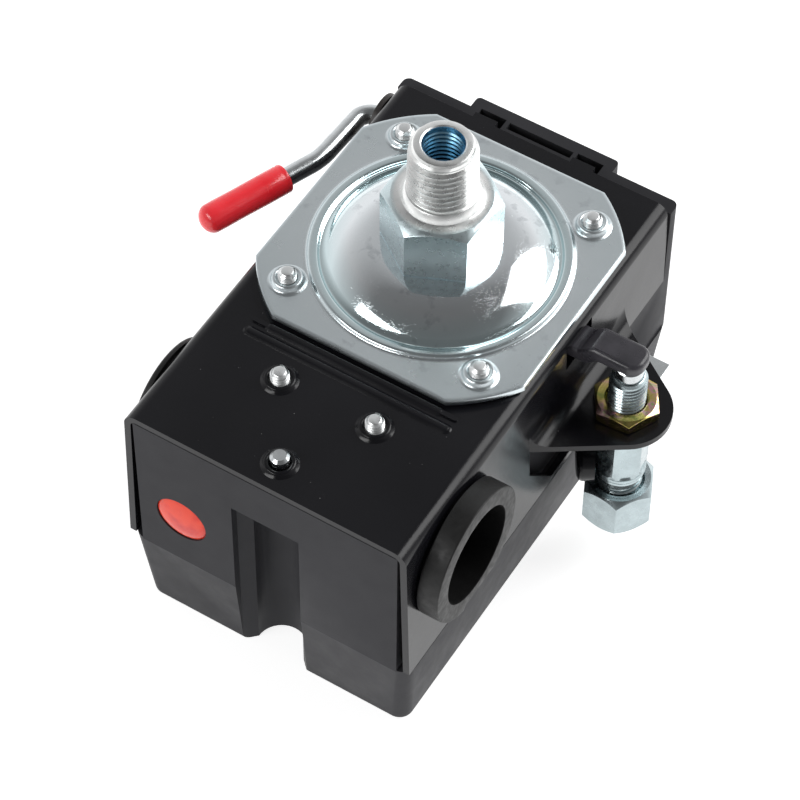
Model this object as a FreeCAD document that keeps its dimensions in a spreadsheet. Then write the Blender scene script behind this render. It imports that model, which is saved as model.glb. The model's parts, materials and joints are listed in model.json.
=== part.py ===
import FreeCAD, Part
import math
import os
import re
import Sketcher
from FreeCAD import Placement, Rotation, Vector

# Pressure switch for an air compressor, in millimetres.
# It lies on the flat top of its cover with the pressure port up: Z = 0 is that rest face,
# the port's axis is the Z axis, the indicator face looks to -Y and the unloader valve is on +X.

DIMENSIONS = {
    # sheet-steel frame: a channel bent down at both sides
    "frame_wide": 66.0, "frame_front": -67.0, "frame_rear": 37.0, "frame_top": 64.5,
    "sheet": 1.5, "flare": 1.1, "bend": 3.0, "side_low": 23.5, "side_rear_low": 40.5,
    "step_high": 20.0, "step_low": 14.0, "plate_hole": 12.0,
    "rib_half": 24.2, "rib_front": -36.4, "rib_rear": -33.4, "rib_wide": 1.1, "rib_high": 0.45,
    "tab_in": 9.2, "tab_out": 14.6, "tab_reach": 38.4, "tab_drop": 5.0,
    # unloader ear, bent out of the right side plate
    "valve_x": 45.0, "ear_round": 9.8, "ear_angle": 34.8, "ear_top": 45.9, "ear_thick": 1.6,
    "ear_root": 33.0, "ear_bend": 4.0,
    "window_low": 25.0, "window_half": 19.4, "window_tip": 10.0, "window_rise": 11.0,
    "arm_half": 3.6, "arm_gap": 1.5, "arm_low": 58.4, "arm_thick": 3.0, "arm_rise": 2.4,
    "arm_knee": 36.8, "arm_tip": 48.6,
    # cover, moulded plastic
    "cover_top": 62.7, "cover_inside": 31.0, "cover_wall": 2.1, "cover_floor": 2.4,
    "cover_wide": 67.8, "cover_step": 22.6, "cover_rear": 41.0, "cover_draft": 5.0,
    "cover_lean": 1.98, "corner": 3.2, "bump_half": 17.4, "bump_rear": 44.2, "bump_low": 50.0,
    "rear_rim": 62.2, "slot_front": 36.7, "slot_rear": 41.6,
    "groove_half": 8.0, "groove_round": 5.6, "groove_deep": 9.8, "groove_top": 50.6,
    "groove_wall": 2.0, "mouth_step": 1.8, "mouth": 4.2,
    "lens_x": -20.7, "lens_high": 36.7, "lens_round": 6.0,
    # conduit openings
    "entry_y": -49.4, "entry_high": 48.5, "entry_hole": 12.5, "entry_bore": 10.9,
    "collar_round": 15.2, "collar_reach": 38.8, "collar_gap": 0.9, "plug_round": 13.8, "plug_reach": 35.3,
    # flange, diaphragm and port
    "flange_half": 32.0, "flange_round": 38.0, "flange_low": 65.1, "flange_high": 66.6,
    "gasket_inset": 0.7, "flange_screw": 22.75, "boss_round": 3.4, "boss_high": 68.1,
    "groove_ring": 27.3, "dome_high": 71.7, "hex_flats": 22.0, "hex_turn": 24.5,
    "hex_low": 71.7, "hex_high": 85.3, "port_round": 7.4, "port_high": 101.0, "port_bore": 4.3,
    # fasteners
    "m_four": 2.0, "screw_proud": 2.9, "base_x": 11.2, "base_y": -43.5, "cover_screw_y": -60.8,
    "head_round": 3.4, "head_high": 2.4,
    # inside: terminals and contacts
    "block_half": 24.0, "block_front": -54.0, "block_rear": -34.0, "block_low": 50.0,
    "strip_in": 5.9, "strip_out": 18.4, "strip_half": 2.5, "strip_low": 54.5, "strip_thick": 1.0,
    "strip_front": -51.0, "strip_rear": -25.6, "screw_y": -45.5, "well_half": 4.0, "well_wide": 6.2,
    "bridge_y": -28.6, "bridge_half": 2.2, "post_x": 13.0, "post_round": 1.4,
    "carrier_low": 49.4, "carrier_high": 52.4, "post_cap": 60.3, "post_top": 61.3,
    # inside: rocker and springs
    "pivot_y": -18.0, "pivot_high": 45.5, "pin_round": 2.0, "pin_gap": 0.05,
    "rocker_half": 9.0, "rocker_front": -33.0, "rocker_rear": 30.0, "rocker_low": 47.0,
    "rocker_high": 49.0, "bracket_half": 12.5, "cheek": 1.5,
    "range_y": 22.0, "range_round": 7.6, "range_wire": 1.9, "range_low": 20.0, "range_stud": 3.0,
    "diff_x": 14.5, "diff_y": 14.0, "diff_round": 4.2, "diff_wire": 1.1, "diff_low": 29.0,
    "diff_stud": 1.9, "piston_round": 11.2, "piston_stem": 3.5,
    # unloader valve
    "valve_hex": 10.0, "valve_turn": 40.6, "valve_low": 27.5, "tab_plate": 1.0,
    "thread_round": 4.0, "thread_high": 57.2, "stem_round": 3.0, "stem_high": 60.5,
    "shaft_round": 1.5, "spring_low": 40.0, "valve_seat": 34.0,
    "collar_low": 24.2, "neck_low": 14.0, "nut_flats": 14.3, "nut_turn": -4.4, "nut_low": 10.1,
    "nut_high": 21.5, "tube_round": 3.2, "lock_flats": 13.0, "lock_turn": 3.0, "lock_high": 49.1,
    "cap_round": 4.6, "cap_near": 5.8, "cap_reach": 9.4, "cap_high": 27.6, "cap_turn": 213.8,
    # on/off lever
    "lever_y": 32.5, "lever_high": 56.5, "rod_round": 2.2, "rod_start": -18.0,
    "crank_x": -38.6, "knee_x": -39.4, "knee_y": 15.5, "tip_x": -50.3, "tip_y": -11.4,
    "crank_bend": 3.8, "knee_bend": 16.0, "cam_round": 2.9, "cam_in": 18.4,
    "cam_out": 23.0, "cam_reach": 9.5, "grip_round": 3.3, "grip_long": 21.5, "bush_round": 4.2,
}

doc = FreeCAD.newDocument("pressure_switch")
sheet = doc.addObject("Spreadsheet::Sheet", "Dims")
for row, (alias, size) in enumerate(DIMENSIONS.items(), 1):
    sheet.set(f"A{row}", alias)
    sheet.set(f"B{row}", str(size))
    sheet.setAlias(f"B{row}", alias)
doc.recompute()

bodies = []


def bound(text):
    """Turn plain names in a formula into references to the sheet's cells."""
    text = str(text)
    return re.sub(r"[a-z_]+", lambda m: "Dims." + m[0] if m[0] in DIMENSIONS else m[0], text)


def size_of(text):
    """Value of a formula, in mm."""
    found = sheet.evalExpression(bound(text))
    return float(getattr(found, "Value", found))


def piece(label, at=("0", "0", "0"), turn=None):
    """A new named sub-part; at places its own frame, turn is (axis, degrees)."""
    body = doc.addObject("PartDesign::Body", label)
    body.Label = label
    if turn:
        body.Placement = Placement(Vector(0, 0, 0), Rotation(Vector(*turn[0]), turn[1]))
    for axis, formula in zip("xyz", at):
        body.setExpression(f"Placement.Base.{axis}", bound(formula))
    bodies.append(body)
    return body


def sketch_on(body, role, offset="0"):
    """A sketch on one of the body's origin planes, moved along the plane's normal."""
    plane = [o for o in body.Origin.OriginFeatures if o.Role == role][0]
    sketch = body.newObject("Sketcher::SketchObject", body.Label + "_sketch")
    sketch.AttachmentSupport = (plane, [""])
    sketch.MapMode = "FlatFace"
    sketch.setExpression("AttachmentOffset.Base.z", bound(offset))
    return sketch


def hold(sketch, kind, *where, to):
    """Bind one dimension of a sketch to a formula."""
    index = sketch.addConstraint(Sketcher.Constraint(kind, *where, size_of(to)))
    sketch.setExpression(f"Constraints[{index}]", bound(to))


def polygon(sketch, points):
    """A closed outline through points, each a pair of formulas."""
    first = sketch.GeometryCount
    spots = [Vector(size_of(x), size_of(y), 0) for x, y in points]
    count = len(points)
    for k in range(count):
        sketch.addGeometry(Part.LineSegment(spots[k], spots[(k + 1) % count]))
    for k, (x, y) in enumerate(points):
        sketch.addConstraint(Sketcher.Constraint("Coincident", first + k, 2, first + (k + 1) % count, 1))
        hold(sketch, "DistanceX", -1, 1, first + k, 1, to=x)
        hold(sketch, "DistanceY", -1, 1, first + k, 1, to=y)
    return sketch


def box_outline(sketch, x0, y0, x1, y1):
    return polygon(sketch, [(x0, y0), (x1, y0), (x1, y1), (x0, y1)])


def circle(sketch, x, y, r):
    index = sketch.addGeometry(Part.Circle(Vector(size_of(x), size_of(y), 0), Vector(0, 0, 1), size_of(r)))
    hold(sketch, "DistanceX", -1, 1, index, 3, to=x)
    hold(sketch, "DistanceY", -1, 1, index, 3, to=y)
    hold(sketch, "Radius", index, to=r)
    return sketch


def hexagon(sketch, flats, turn="0", x="0", y="0"):
    corner = f"({flats}) / 2 / cos(30 deg)"
    angles = [f"({turn}) * 1 deg + {60 * k} deg" for k in range(6)]
    return polygon(sketch, [(f"{x} + {corner} * cos({a})", f"{y} + {corner} * sin({a})") for a in angles])


def pad(body, sketch, length, both=False, back=False):
    feature = body.newObject("PartDesign::Pad", body.Label + "_pad")
    feature.Profile = sketch
    feature.setExpression("Length", bound(length))
    feature.Midplane = both
    feature.Reversed = back
    doc.recompute()
    if feature.Shape.isNull():
        raise RuntimeError(f"{feature.Label}: {feature.getStatusString()}")
    return feature


def pocket(body, sketch, length, both=False, back=False):
    """Cut, and make sure that material has really gone."""
    before = body.Shape.Volume
    feature = body.newObject("PartDesign::Pocket", body.Label + "_pocket")
    feature.Profile = sketch
    feature.setExpression("Length", bound(length))
    feature.Midplane = both
    feature.Reversed = back
    doc.recompute()
    if body.Shape.Volume >= before - 1e-6:
        raise RuntimeError(f"{body.Label}: a pocket cuts nothing")
    return feature


def spin(body, points, cut=False):
    """Turn an outline of (radius, height) formulas about the body's Z axis."""
    sketch = polygon(sketch_on(body, "XZ_Plane"), points)
    before = body.Shape.Volume if cut else 0.0
    kind = "PartDesign::Groove" if cut else "PartDesign::Revolution"
    feature = body.newObject(kind, body.Label + "_turned")
    feature.Profile = sketch
    feature.ReferenceAxis = (sketch, ["V_Axis"])
    feature.Angle = 360.0
    doc.recompute()
    if cut and body.Shape.Volume >= before - 1e-6:
        raise RuntimeError(f"{body.Label}: a groove cuts nothing")
    return feature


def round_edges(body, radius, wanted, chamfer=False):
    """Fillet or chamfer every edge of the body's tip that passes the test wanted(edge)."""
    tip = body.Tip
    names = [f"Edge{k}" for k, e in enumerate(tip.Shape.Edges, 1) if wanted(e)]
    if not names:
        raise RuntimeError(f"{body.Label}: no edges to round")
    kind = "PartDesign::Chamfer" if chamfer else "PartDesign::Fillet"
    feature = body.newObject(kind, body.Label + "_edges")
    feature.Base = (tip, names)
    feature.setExpression("Size" if chamfer else "Radius", bound(radius))
    doc.recompute()
    if feature.Shape.isNull():
        raise RuntimeError(f"{feature.Label}: {feature.getStatusString()}")
    return feature


def along(edge, axis):
    """True for a straight edge parallel to the axis."""
    if not isinstance(edge.Curve, (Part.Line, Part.LineSegment)):
        return False
    return abs(edge.tangentAt(edge.FirstParameter).dot(axis)) > 0.999


def near(value, target, slack=0.05):
    return abs(value - target) < slack


Y, Z = Vector(0, 1, 0), Vector(0, 0, 1)
EAR_TANGENT_X = "(valve_x + ear_round * sin(ear_angle * 1 deg))"
EAR_TANGENT_Y = "(ear_round * cos(ear_angle * 1 deg))"
EAR_ROOT_Y = f"({EAR_TANGENT_Y} + ({EAR_TANGENT_X} - ear_root) * tan(ear_angle * 1 deg))"
SCREW_SPOTS = [("flange_screw", "flange_screw"), ("-flange_screw", "flange_screw"),
               ("flange_screw", "-flange_screw"), ("-flange_screw", "-flange_screw")]
STRIP_SPOTS = ["-strip_out", "-strip_in", "strip_in", "strip_out"]


def make_frame():
    body = piece("base_frame")
    half, low = "frame_wide / 2", "side_low"
    channel = sketch_on(body, "XZ_Plane", "-(frame_front + frame_rear) / 2")
    polygon(channel, [
        (f"-{half} - flare", low), (f"-{half}", "frame_top"), (half, "frame_top"),
        (f"{half} + flare", low), (f"{half} + flare - sheet", low),
        (f"{half} - sheet", "frame_top - sheet"), (f"-{half} + sheet", "frame_top - sheet"),
        (f"-{half} - flare + sheet", low)])
    pad(body, channel, "frame_rear - frame_front", both=True)
    ear = sketch_on(body, "XY_Plane", "ear_top - ear_thick")
    polygon(ear, [("ear_root - 0.6", f"-{EAR_ROOT_Y}"), (EAR_TANGENT_X, f"-{EAR_TANGENT_Y}"),
                  (EAR_TANGENT_X, EAR_TANGENT_Y), ("ear_root - 0.6", EAR_ROOT_Y)])
    pad(body, ear, "ear_thick")
    tip = circle(sketch_on(body, "XY_Plane", "ear_top - ear_thick"), "valve_x", "0", "ear_round")
    pad(body, tip, "ear_thick")
    top = size_of("frame_top")
    edge_x = size_of(half)
    round_edges(body, "bend", lambda e: along(e, Y) and near(e.CenterOfMass.z, top))
    sheet_thick = size_of("sheet")
    round_edges(body, "bend - sheet", lambda e: along(e, Y)
                and near(e.CenterOfMass.z, top - sheet_thick)
                and near(abs(e.CenterOfMass.x), edge_x - sheet_thick))
    ear_high = size_of("ear_top")
    round_edges(body, "ear_bend", lambda e: along(e, Y) and near(e.CenterOfMass.z, ear_high)
                and e.CenterOfMass.x < size_of("ear_root") + 2)
    window = sketch_on(body, "YZ_Plane", "ear_root + 5")
    polygon(window, [("-window_half", "ear_top - ear_thick"), ("-window_half", "window_low + window_rise"),
                     ("-window_tip", "window_low"), ("window_tip", "window_low"),
                     ("window_half", "window_low + window_rise"), ("window_half", "ear_top - ear_thick")])
    pocket(body, window, "8")
    rear_cut = sketch_on(body, "YZ_Plane")
    polygon(rear_cut, [("step_low", "side_low - 1"), ("frame_rear + 1", "side_low - 1"),
                       ("frame_rear + 1", "side_rear_low"), ("step_high", "side_rear_low")])
    pocket(body, rear_cut, "frame_wide + 20", both=True)
    entries = circle(sketch_on(body, "YZ_Plane"), "entry_y", "entry_high", "entry_hole")
    pocket(body, entries, "frame_wide + 20", both=True)
    slot = sketch_on(body, "YZ_Plane", "ear_root + 5")
    box_outline(slot, "-arm_half - arm_gap", "arm_low - 2.6",
                "arm_half + arm_gap", "arm_low + arm_thick + 0.7")
    pocket(body, slot, "10")
    bush = circle(sketch_on(body, "YZ_Plane", "-ear_root - 5"), "lever_y", "lever_high", "bush_round")
    pocket(body, bush, "10", back=True)
    holes = circle(sketch_on(body, "XY_Plane", "frame_top + 5"), "0", "0", "plate_hole")
    for x, y in SCREW_SPOTS + [("-base_x", "base_y"), ("base_x", "base_y"), ("0", "cover_screw_y")]:
        circle(holes, x, y, "m_four + 0.1")
    circle(holes, "0", "range_y", "range_stud")
    circle(holes, "diff_x", "diff_y", "diff_stud")
    circle(holes, "valve_x", "0", "thread_round + 0.1")
    pocket(body, holes, "frame_top - ear_top + 12")
    for y in ("rib_front", "rib_rear"):
        rib = sketch_on(body, "XY_Plane", "frame_top - 0.2")
        box_outline(rib, "-rib_half", f"{y} - rib_wide / 2", "rib_half", f"{y} + rib_wide / 2")
        pad(body, rib, "rib_high + 0.2")
        rib_y = size_of(y)
        round_edges(body, "rib_wide * 0.49", lambda e: along(e, Z) and near(abs(e.CenterOfMass.x),
                    size_of("rib_half")) and abs(e.CenterOfMass.y - rib_y) < 2)
    for side in ("-", ""):
        inner, outer = f"{side}tab_in", f"{side}tab_out"
        flat = sketch_on(body, "XY_Plane", "frame_top - sheet")
        box_outline(flat, inner, "frame_rear - 1", outer, "tab_reach")
        pad(body, flat, "sheet")
        hook = sketch_on(body, "XY_Plane", "frame_top - tab_drop")
        box_outline(hook, inner, "tab_reach - sheet", outer, "tab_reach")
        pad(body, hook, "tab_drop")


def make_cover():
    body = piece("cover")
    half = "cover_wide / 2"
    shelf = sketch_on(body, "XY_Plane", "cover_step")
    box_outline(shelf, f"-{half}", "frame_front", half, "cover_rear")
    tray = pad(body, shelf, "cover_step", back=True)
    tray.setExpression("TaperAngle", bound("-cover_draft"))
    doc.recompute()
    round_edges(body, "corner", lambda e: e.BoundBox.ZLength > 5)
    round_edges(body, "1.2", lambda e: e.BoundBox.ZMax < 0.01)
    upper = sketch_on(body, "XY_Plane", "cover_step - 0.5")
    box_outline(upper, "-cover_inside", "frame_front", "cover_inside", "cover_rear - 1")
    pad(body, upper, "cover_top - cover_step + 0.5")
    rear = sketch_on(body, "XY_Plane", "cover_step - 0.5")
    box_outline(rear, f"-{half} + 0.4", "frame_rear + 0.4", f"{half} - 0.4", "cover_rear")
    pad(body, rear, "rear_rim - cover_step + 0.5")
    for side in (1, -1):
        shoulder = sketch_on(body, "YZ_Plane", f"{side} * (cover_inside - 0.5)")
        polygon(shoulder, [("step_low + 0.4", "cover_step - 0.5"), ("cover_rear - 0.5", "cover_step - 0.5"),
                           ("cover_rear - 0.5", "side_rear_low - 0.3"),
                           ("step_high + 0.4", "side_rear_low - 0.3")])
        pad(body, shoulder, "frame_wide / 2 + 1 - cover_inside", back=side < 0)
    rim_cut = sketch_on(body, "XY_Plane", "cover_top + 1")
    box_outline(rim_cut, "-cover_wide", "frame_rear + 0.4", "cover_wide", "cover_rear + 5")
    pocket(body, rim_cut, "cover_top + 1 - rear_rim")
    round_edges(body, "1.6", lambda e: along(e, Z) and e.CenterOfMass.z > size_of("cover_step")
                and near(e.CenterOfMass.y, size_of("cover_rear")))
    bump = sketch_on(body, "XY_Plane", "bump_low")
    box_outline(bump, "-bump_half", "cover_rear - 1", "bump_half", "bump_rear")
    pad(body, bump, "rear_rim - bump_low")
    round_edges(body, "1.0", lambda e: along(e, Z) and near(e.CenterOfMass.y, size_of("bump_rear")))
    inside = sketch_on(body, "XY_Plane", "cover_top + 1")
    box_outline(inside, "-cover_inside + cover_wall", "frame_front + cover_wall + cover_lean",
                "cover_inside - cover_wall", "frame_rear - 1.5")
    pocket(body, inside, "cover_top + 1 - cover_floor")
    boss = sketch_on(body, "XY_Plane", "cover_floor - 0.5")
    box_outline(boss, "-groove_half - groove_wall", "frame_front + 2", "groove_half + groove_wall",
                "frame_front + groove_deep + groove_wall")
    pad(body, boss, "groove_top + groove_wall - cover_floor + 0.5")
    groove = sketch_on(body, "XY_Plane", "-1")
    circle(groove, "0", "frame_front + groove_deep - groove_round", "groove_round")
    pocket(body, groove, "groove_top + 1", back=True)
    mouth = sketch_on(body, "XY_Plane", "-1")
    back = "frame_front + groove_deep - groove_round"
    polygon(mouth, [("-groove_half", "frame_front - 1"), ("groove_half", "frame_front - 1"),
                    ("groove_half", "frame_front + mouth_step"), ("groove_round", "frame_front + mouth"),
                    ("groove_round", back), ("-groove_round", back),
                    ("-groove_round", "frame_front + mouth"), ("-groove_half", "frame_front + mouth_step")])
    pocket(body, mouth, "groove_top + 1", back=True)
    screw = circle(sketch_on(body, "XY_Plane"), "0", "cover_screw_y", "m_four + 0.1")
    pocket(body, screw, "groove_top + groove_wall + 2", back=True)
    lens = circle(sketch_on(body, "XZ_Plane", "-frame_front + 3"), "lens_x", "lens_high", "lens_round")
    pocket(body, lens, "10")
    for side in (1, -1):
        ring = sketch_on(body, "YZ_Plane", f"{side} * (cover_inside + 6)")
        circle(ring, "entry_y", "entry_high", "entry_hole + 0.5")
        pocket(body, ring, "10", back=side < 0)
        gate = sketch_on(body, "YZ_Plane", f"{side} * (cover_inside + 6)")
        box_outline(gate, "entry_y - entry_hole - 0.5", "entry_high",
                    "entry_y + entry_hole + 0.5", "cover_top + 1")
        pocket(body, gate, "10", back=side < 0)
    arm = sketch_on(body, "YZ_Plane", "cover_inside + 6")
    box_outline(arm, "-arm_half - 2 * arm_gap", "arm_low - 4", "arm_half + 2 * arm_gap", "cover_top + 1")
    pocket(body, arm, "10")
    lever = sketch_on(body, "YZ_Plane", "-cover_inside - 6")
    box_outline(lever, "lever_y - bush_round - 0.4", "lever_high - bush_round - 0.4",
                "frame_rear - 0.1", "cover_top + 1")
    pocket(body, lever, "10", back=True)
    for side in ("-", ""):
        hook = sketch_on(body, "XY_Plane", "rear_rim + 1")
        box_outline(hook, f"{side}(tab_in - 0.4)", "slot_front", f"{side}(tab_out + 0.4)", "slot_rear")
        pocket(body, hook, "8")
    thin = sketch_on(body, "XY_Plane", "rear_rim + 1")
    box_outline(thin, "-tab_in + 1.4", "slot_rear - 2.1", "tab_in - 1.4", "slot_rear - 0.3")
    pocket(body, thin, "5")


def make_cover_screw():
    body = piece("cover_screw", at=("0", "cover_screw_y", "0"))
    spin(body, [("0", "groove_top - head_high"), ("head_round", "groove_top - head_high"),
                ("head_round", "groove_top"), ("m_four", "groove_top"),
                ("m_four", "frame_top + screw_proud - 0.6"), ("m_four - 0.6", "frame_top + screw_proud"),
                ("0", "frame_top + screw_proud")])
    slot = sketch_on(body, "XY_Plane", "groove_top - head_high - 1")
    box_outline(slot, "-head_round - 1", "-0.5", "head_round + 1", "0.5")
    pocket(body, slot, "2.1", back=True)


def make_indicator():
    lens = piece("indicator_lens", at=("lens_x", "frame_front", "lens_high"), turn=((1, 0, 0), 90))
    spin(lens, [("0", "-5.0"), ("lens_round - 1.6", "-5.0"), ("lens_round - 1.6", "-2.1"),
                ("lens_round", "-2.1"), ("lens_round", "-0.1"), ("lens_round - 0.6", "0.15"),
                ("0", "0.35")])
    lamp = piece("indicator_lamp", at=("lens_x", "frame_front", "lens_high"), turn=((1, 0, 0), 90))
    spin(lamp, [("0", "-17"), ("2.6", "-17"), ("2.6", "-7.4"), ("1.6", "-5.8"), ("0", "-5.4")])


def make_flange():
    def outline(body, low, inset):
        sketch = sketch_on(body, "XY_Plane", low)
        box_outline(sketch, f"-flange_half + {inset}", f"-flange_half + {inset}",
                    f"flange_half - {inset}", f"flange_half - {inset}")
        return sketch

    def trim_corners(body, low, inset):
        ring = sketch_on(body, "XY_Plane", f"{low} - 1")
        circle(ring, "0", "0", f"flange_round - {inset}")
        circle(ring, "0", "0", "flange_round + 30")
        pocket(body, ring, "8", back=True)

    gasket = piece("diaphragm")
    pad(gasket, outline(gasket, "frame_top", "gasket_inset"), "flange_low - frame_top")
    trim_corners(gasket, "frame_top", "gasket_inset")
    holes = sketch_on(gasket, "XY_Plane", "frame_top - 1")
    for x, y in SCREW_SPOTS:
        circle(holes, x, y, "m_four + 0.1")
    pocket(gasket, holes, "4", back=True)

    body = piece("flange_plate")
    pad(body, outline(body, "flange_low", "0"), "flange_high - flange_low")
    trim_corners(body, "flange_low", "0")
    round_edges(body, "0.5", lambda e: near(e.CenterOfMass.z, size_of("flange_high"), 0.01)
                and e.BoundBox.DiagonalLength > 5)
    rise = "(dome_high - flange_high)"
    spin(body, [("0", "flange_low + 0.4"), ("groove_ring - 2.8", "flange_low + 0.4"),
                ("groove_ring - 2.8", "flange_high"), ("groove_ring - 3.8", f"flange_high + {rise} * 0.10"),
                ("groove_ring - 5.3", f"flange_high + {rise} * 0.38"),
                ("groove_ring - 7.3", f"flange_high + {rise} * 0.65"),
                ("groove_ring - 9.3", f"flange_high + {rise} * 0.82"),
                ("groove_ring - 11.3", f"flange_high + {rise} * 0.93"), ("13.4", "dome_high"),
                ("0", "dome_high")])
    spin(body, [("groove_ring - 0.9", "flange_high - 0.45"), ("groove_ring + 0.9", "flange_high - 0.45"),
                ("groove_ring + 1.4", "flange_high + 0.3"), ("groove_ring - 0.9", "flange_high + 0.3")],
         cut=True)
    spin(body, [("0", "flange_low - 0.1"), ("groove_ring - 4.6", "flange_low - 0.1"),
                ("groove_ring - 5.4", f"flange_low + {rise} * 0.15"),
                ("groove_ring - 8.6", f"flange_low + {rise} * 0.62"), ("13", f"flange_low + {rise} * 0.9"),
                ("0", f"flange_low + {rise} * 0.9")], cut=True)
    bosses = sketch_on(body, "XY_Plane", "flange_high - 0.2")
    for x, y in SCREW_SPOTS:
        circle(bosses, x, y, "boss_round")
    pad(body, bosses, "boss_high - flange_high + 0.2")
    round_edges(body, "0.5", lambda e: near(e.CenterOfMass.z, size_of("boss_high"), 0.01))
    holes = sketch_on(body, "XY_Plane", "flange_low - 1")
    for x, y in SCREW_SPOTS:
        circle(holes, x, y, "m_four")
    circle(holes, "0", "0", "port_round + 1.4")
    pocket(body, holes, "20", back=True)


def make_port():
    body = piece("port_fitting")
    flats = hexagon(sketch_on(body, "XY_Plane", "hex_low"), "hex_flats", "hex_turn")
    pad(body, flats, "hex_high - hex_low")
    across = "hex_flats / 2 / cos(30 deg)"
    spin(body, [("hex_flats / 2 - 0.3", "hex_high + 0.1"), (f"{across} + 1", "hex_high + 0.1"),
                (f"{across} + 1", "hex_high - 1.5")], cut=True)
    spin(body, [("0", "hex_high - 0.5"), ("port_round + 1.2", "hex_high - 0.5"),
                ("port_round + 1.2", "hex_high + 0.5"), ("port_round + 0.4", "hex_high + 0.9"),
                ("port_round + 0.4", "hex_high + 1.6"), ("port_round", "hex_high + 2.0"),
                ("port_round", "port_high - 1.0"), ("port_round - 1.0", "port_high"), ("0", "port_high")])
    spin(body, [("0", "flange_low + 3.6"), ("port_round + 1.4", "flange_low + 3.6"),
                ("port_round + 1.4", "hex_low + 0.2"), ("0", "hex_low + 0.2")])
    bore = circle(sketch_on(body, "XY_Plane", "flange_low"), "0", "0", "port_bore")
    pocket(body, bore, "port_high - flange_low + 2", back=True)


def make_screws():
    """Four flange screws, heads under the frame plate, and the two screws of the terminal block."""
    body = piece("flange_screws")
    heads = sketch_on(body, "XY_Plane", "frame_top - sheet - head_high")
    shanks = sketch_on(body, "XY_Plane", "frame_top - sheet - 0.5")
    for x, y in SCREW_SPOTS:
        circle(heads, x, y, "head_round")
        circle(shanks, x, y, "m_four")
    pad(body, heads, "head_high")
    pad(body, shanks, "boss_high + screw_proud - 1.2 - frame_top + sheet + 0.5")
    top = size_of("boss_high + screw_proud - 1.2")
    round_edges(body, "0.5", lambda e: near(e.CenterOfMass.z, top), chamfer=True)
    body = piece("block_screws")
    heads = sketch_on(body, "XY_Plane", "block_low - head_high")
    shanks = sketch_on(body, "XY_Plane", "block_low - 0.5")
    for x in ("-base_x", "base_x"):
        circle(heads, x, "base_y", "head_round - 0.4")
        circle(shanks, x, "base_y", "m_four")
    pad(body, heads, "head_high")
    pad(body, shanks, "frame_top + screw_proud - block_low + 0.5")
    top = size_of("frame_top + screw_proud")
    round_edges(body, "0.5", lambda e: near(e.CenterOfMass.z, top), chamfer=True)


def make_entries():
    """Right cable grommet and left blanking plug, each turned about the X axis."""
    grommet = piece("cable_grommet", at=("0", "entry_y", "entry_high"), turn=((0, 1, 0), 90))
    plate = "ear_root + collar_gap"
    spin(grommet, [("entry_bore", "cover_inside - 2"), ("entry_hole - 0.1", "cover_inside - 2"),
                   ("entry_hole - 0.1", plate), ("collar_round", plate),
                   ("collar_round", "collar_reach - 0.8"), ("collar_round - 0.8", "collar_reach"),
                   ("entry_bore + 0.5", "collar_reach"), ("entry_bore", "collar_reach - 0.5")])
    plug = piece("blanking_plug", at=("0", "entry_y", "entry_high"), turn=((0, 1, 0), -90))
    spin(plug, [("0", "ear_root - 1.5"), ("entry_hole - 2", "ear_root - 1.5"),
                ("entry_hole - 2", "cover_inside - 2"), ("entry_hole - 0.1", "cover_inside - 2"),
                ("entry_hole - 0.1", plate), ("plug_round", plate), ("plug_round", "plug_reach - 0.5"),
                ("plug_round - 0.6", "plug_reach"), ("0", "plug_reach")])


def make_terminals():
    block = piece("terminal_block")
    slab = sketch_on(block, "XY_Plane", "block_low")
    box_outline(slab, "-block_half", "block_front", "block_half", "block_rear")
    pad(block, slab, "frame_top - sheet - block_low")
    round_edges(block, "0.8", lambda e: along(e, Z))
    wells = sketch_on(block, "XY_Plane", "block_low - 1")
    holes = sketch_on(block, "XY_Plane", "block_low - 1")
    slots = sketch_on(block, "XZ_Plane", "-strip_rear")
    for x in STRIP_SPOTS:
        box_outline(wells, f"{x} - well_wide / 2", "screw_y - well_half", f"{x} + well_wide / 2",
                    "screw_y + well_half")
        circle(holes, x, "screw_y", "1.6")
        box_outline(slots, f"{x} - strip_half", "strip_low", f"{x} + strip_half", "strip_low + strip_thick")
    pocket(block, wells, "strip_low - block_low + 1", back=True)
    pocket(block, holes, "10", back=True)
    pocket(block, slots, "strip_rear - strip_front", back=True)
    bolts = sketch_on(block, "XY_Plane", "block_low - 1")
    for x in ("-base_x", "base_x"):
        circle(bolts, x, "base_y", "m_four + 0.1")
    pocket(block, bolts, "20", back=True)

    strips = piece("terminal_strips")
    bars = sketch_on(strips, "XY_Plane", "strip_low")
    taps = sketch_on(strips, "XY_Plane", "strip_low - 1")
    for x in STRIP_SPOTS:
        box_outline(bars, f"{x} - strip_half", "strip_front", f"{x} + strip_half", "strip_rear")
        circle(taps, x, "screw_y", "1.5")
    pad(strips, bars, "strip_thick")
    pocket(strips, taps, "4", back=True)

    screws = piece("terminal_screws")
    heads = sketch_on(screws, "XY_Plane", "strip_low - 2")
    shanks = sketch_on(screws, "XY_Plane", "strip_low - 0.5")
    for x in STRIP_SPOTS:
        circle(heads, x, "screw_y", "2.8")
        circle(shanks, x, "screw_y", "1.5")
    pad(screws, heads, "2")
    pad(screws, shanks, "4.5")


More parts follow.
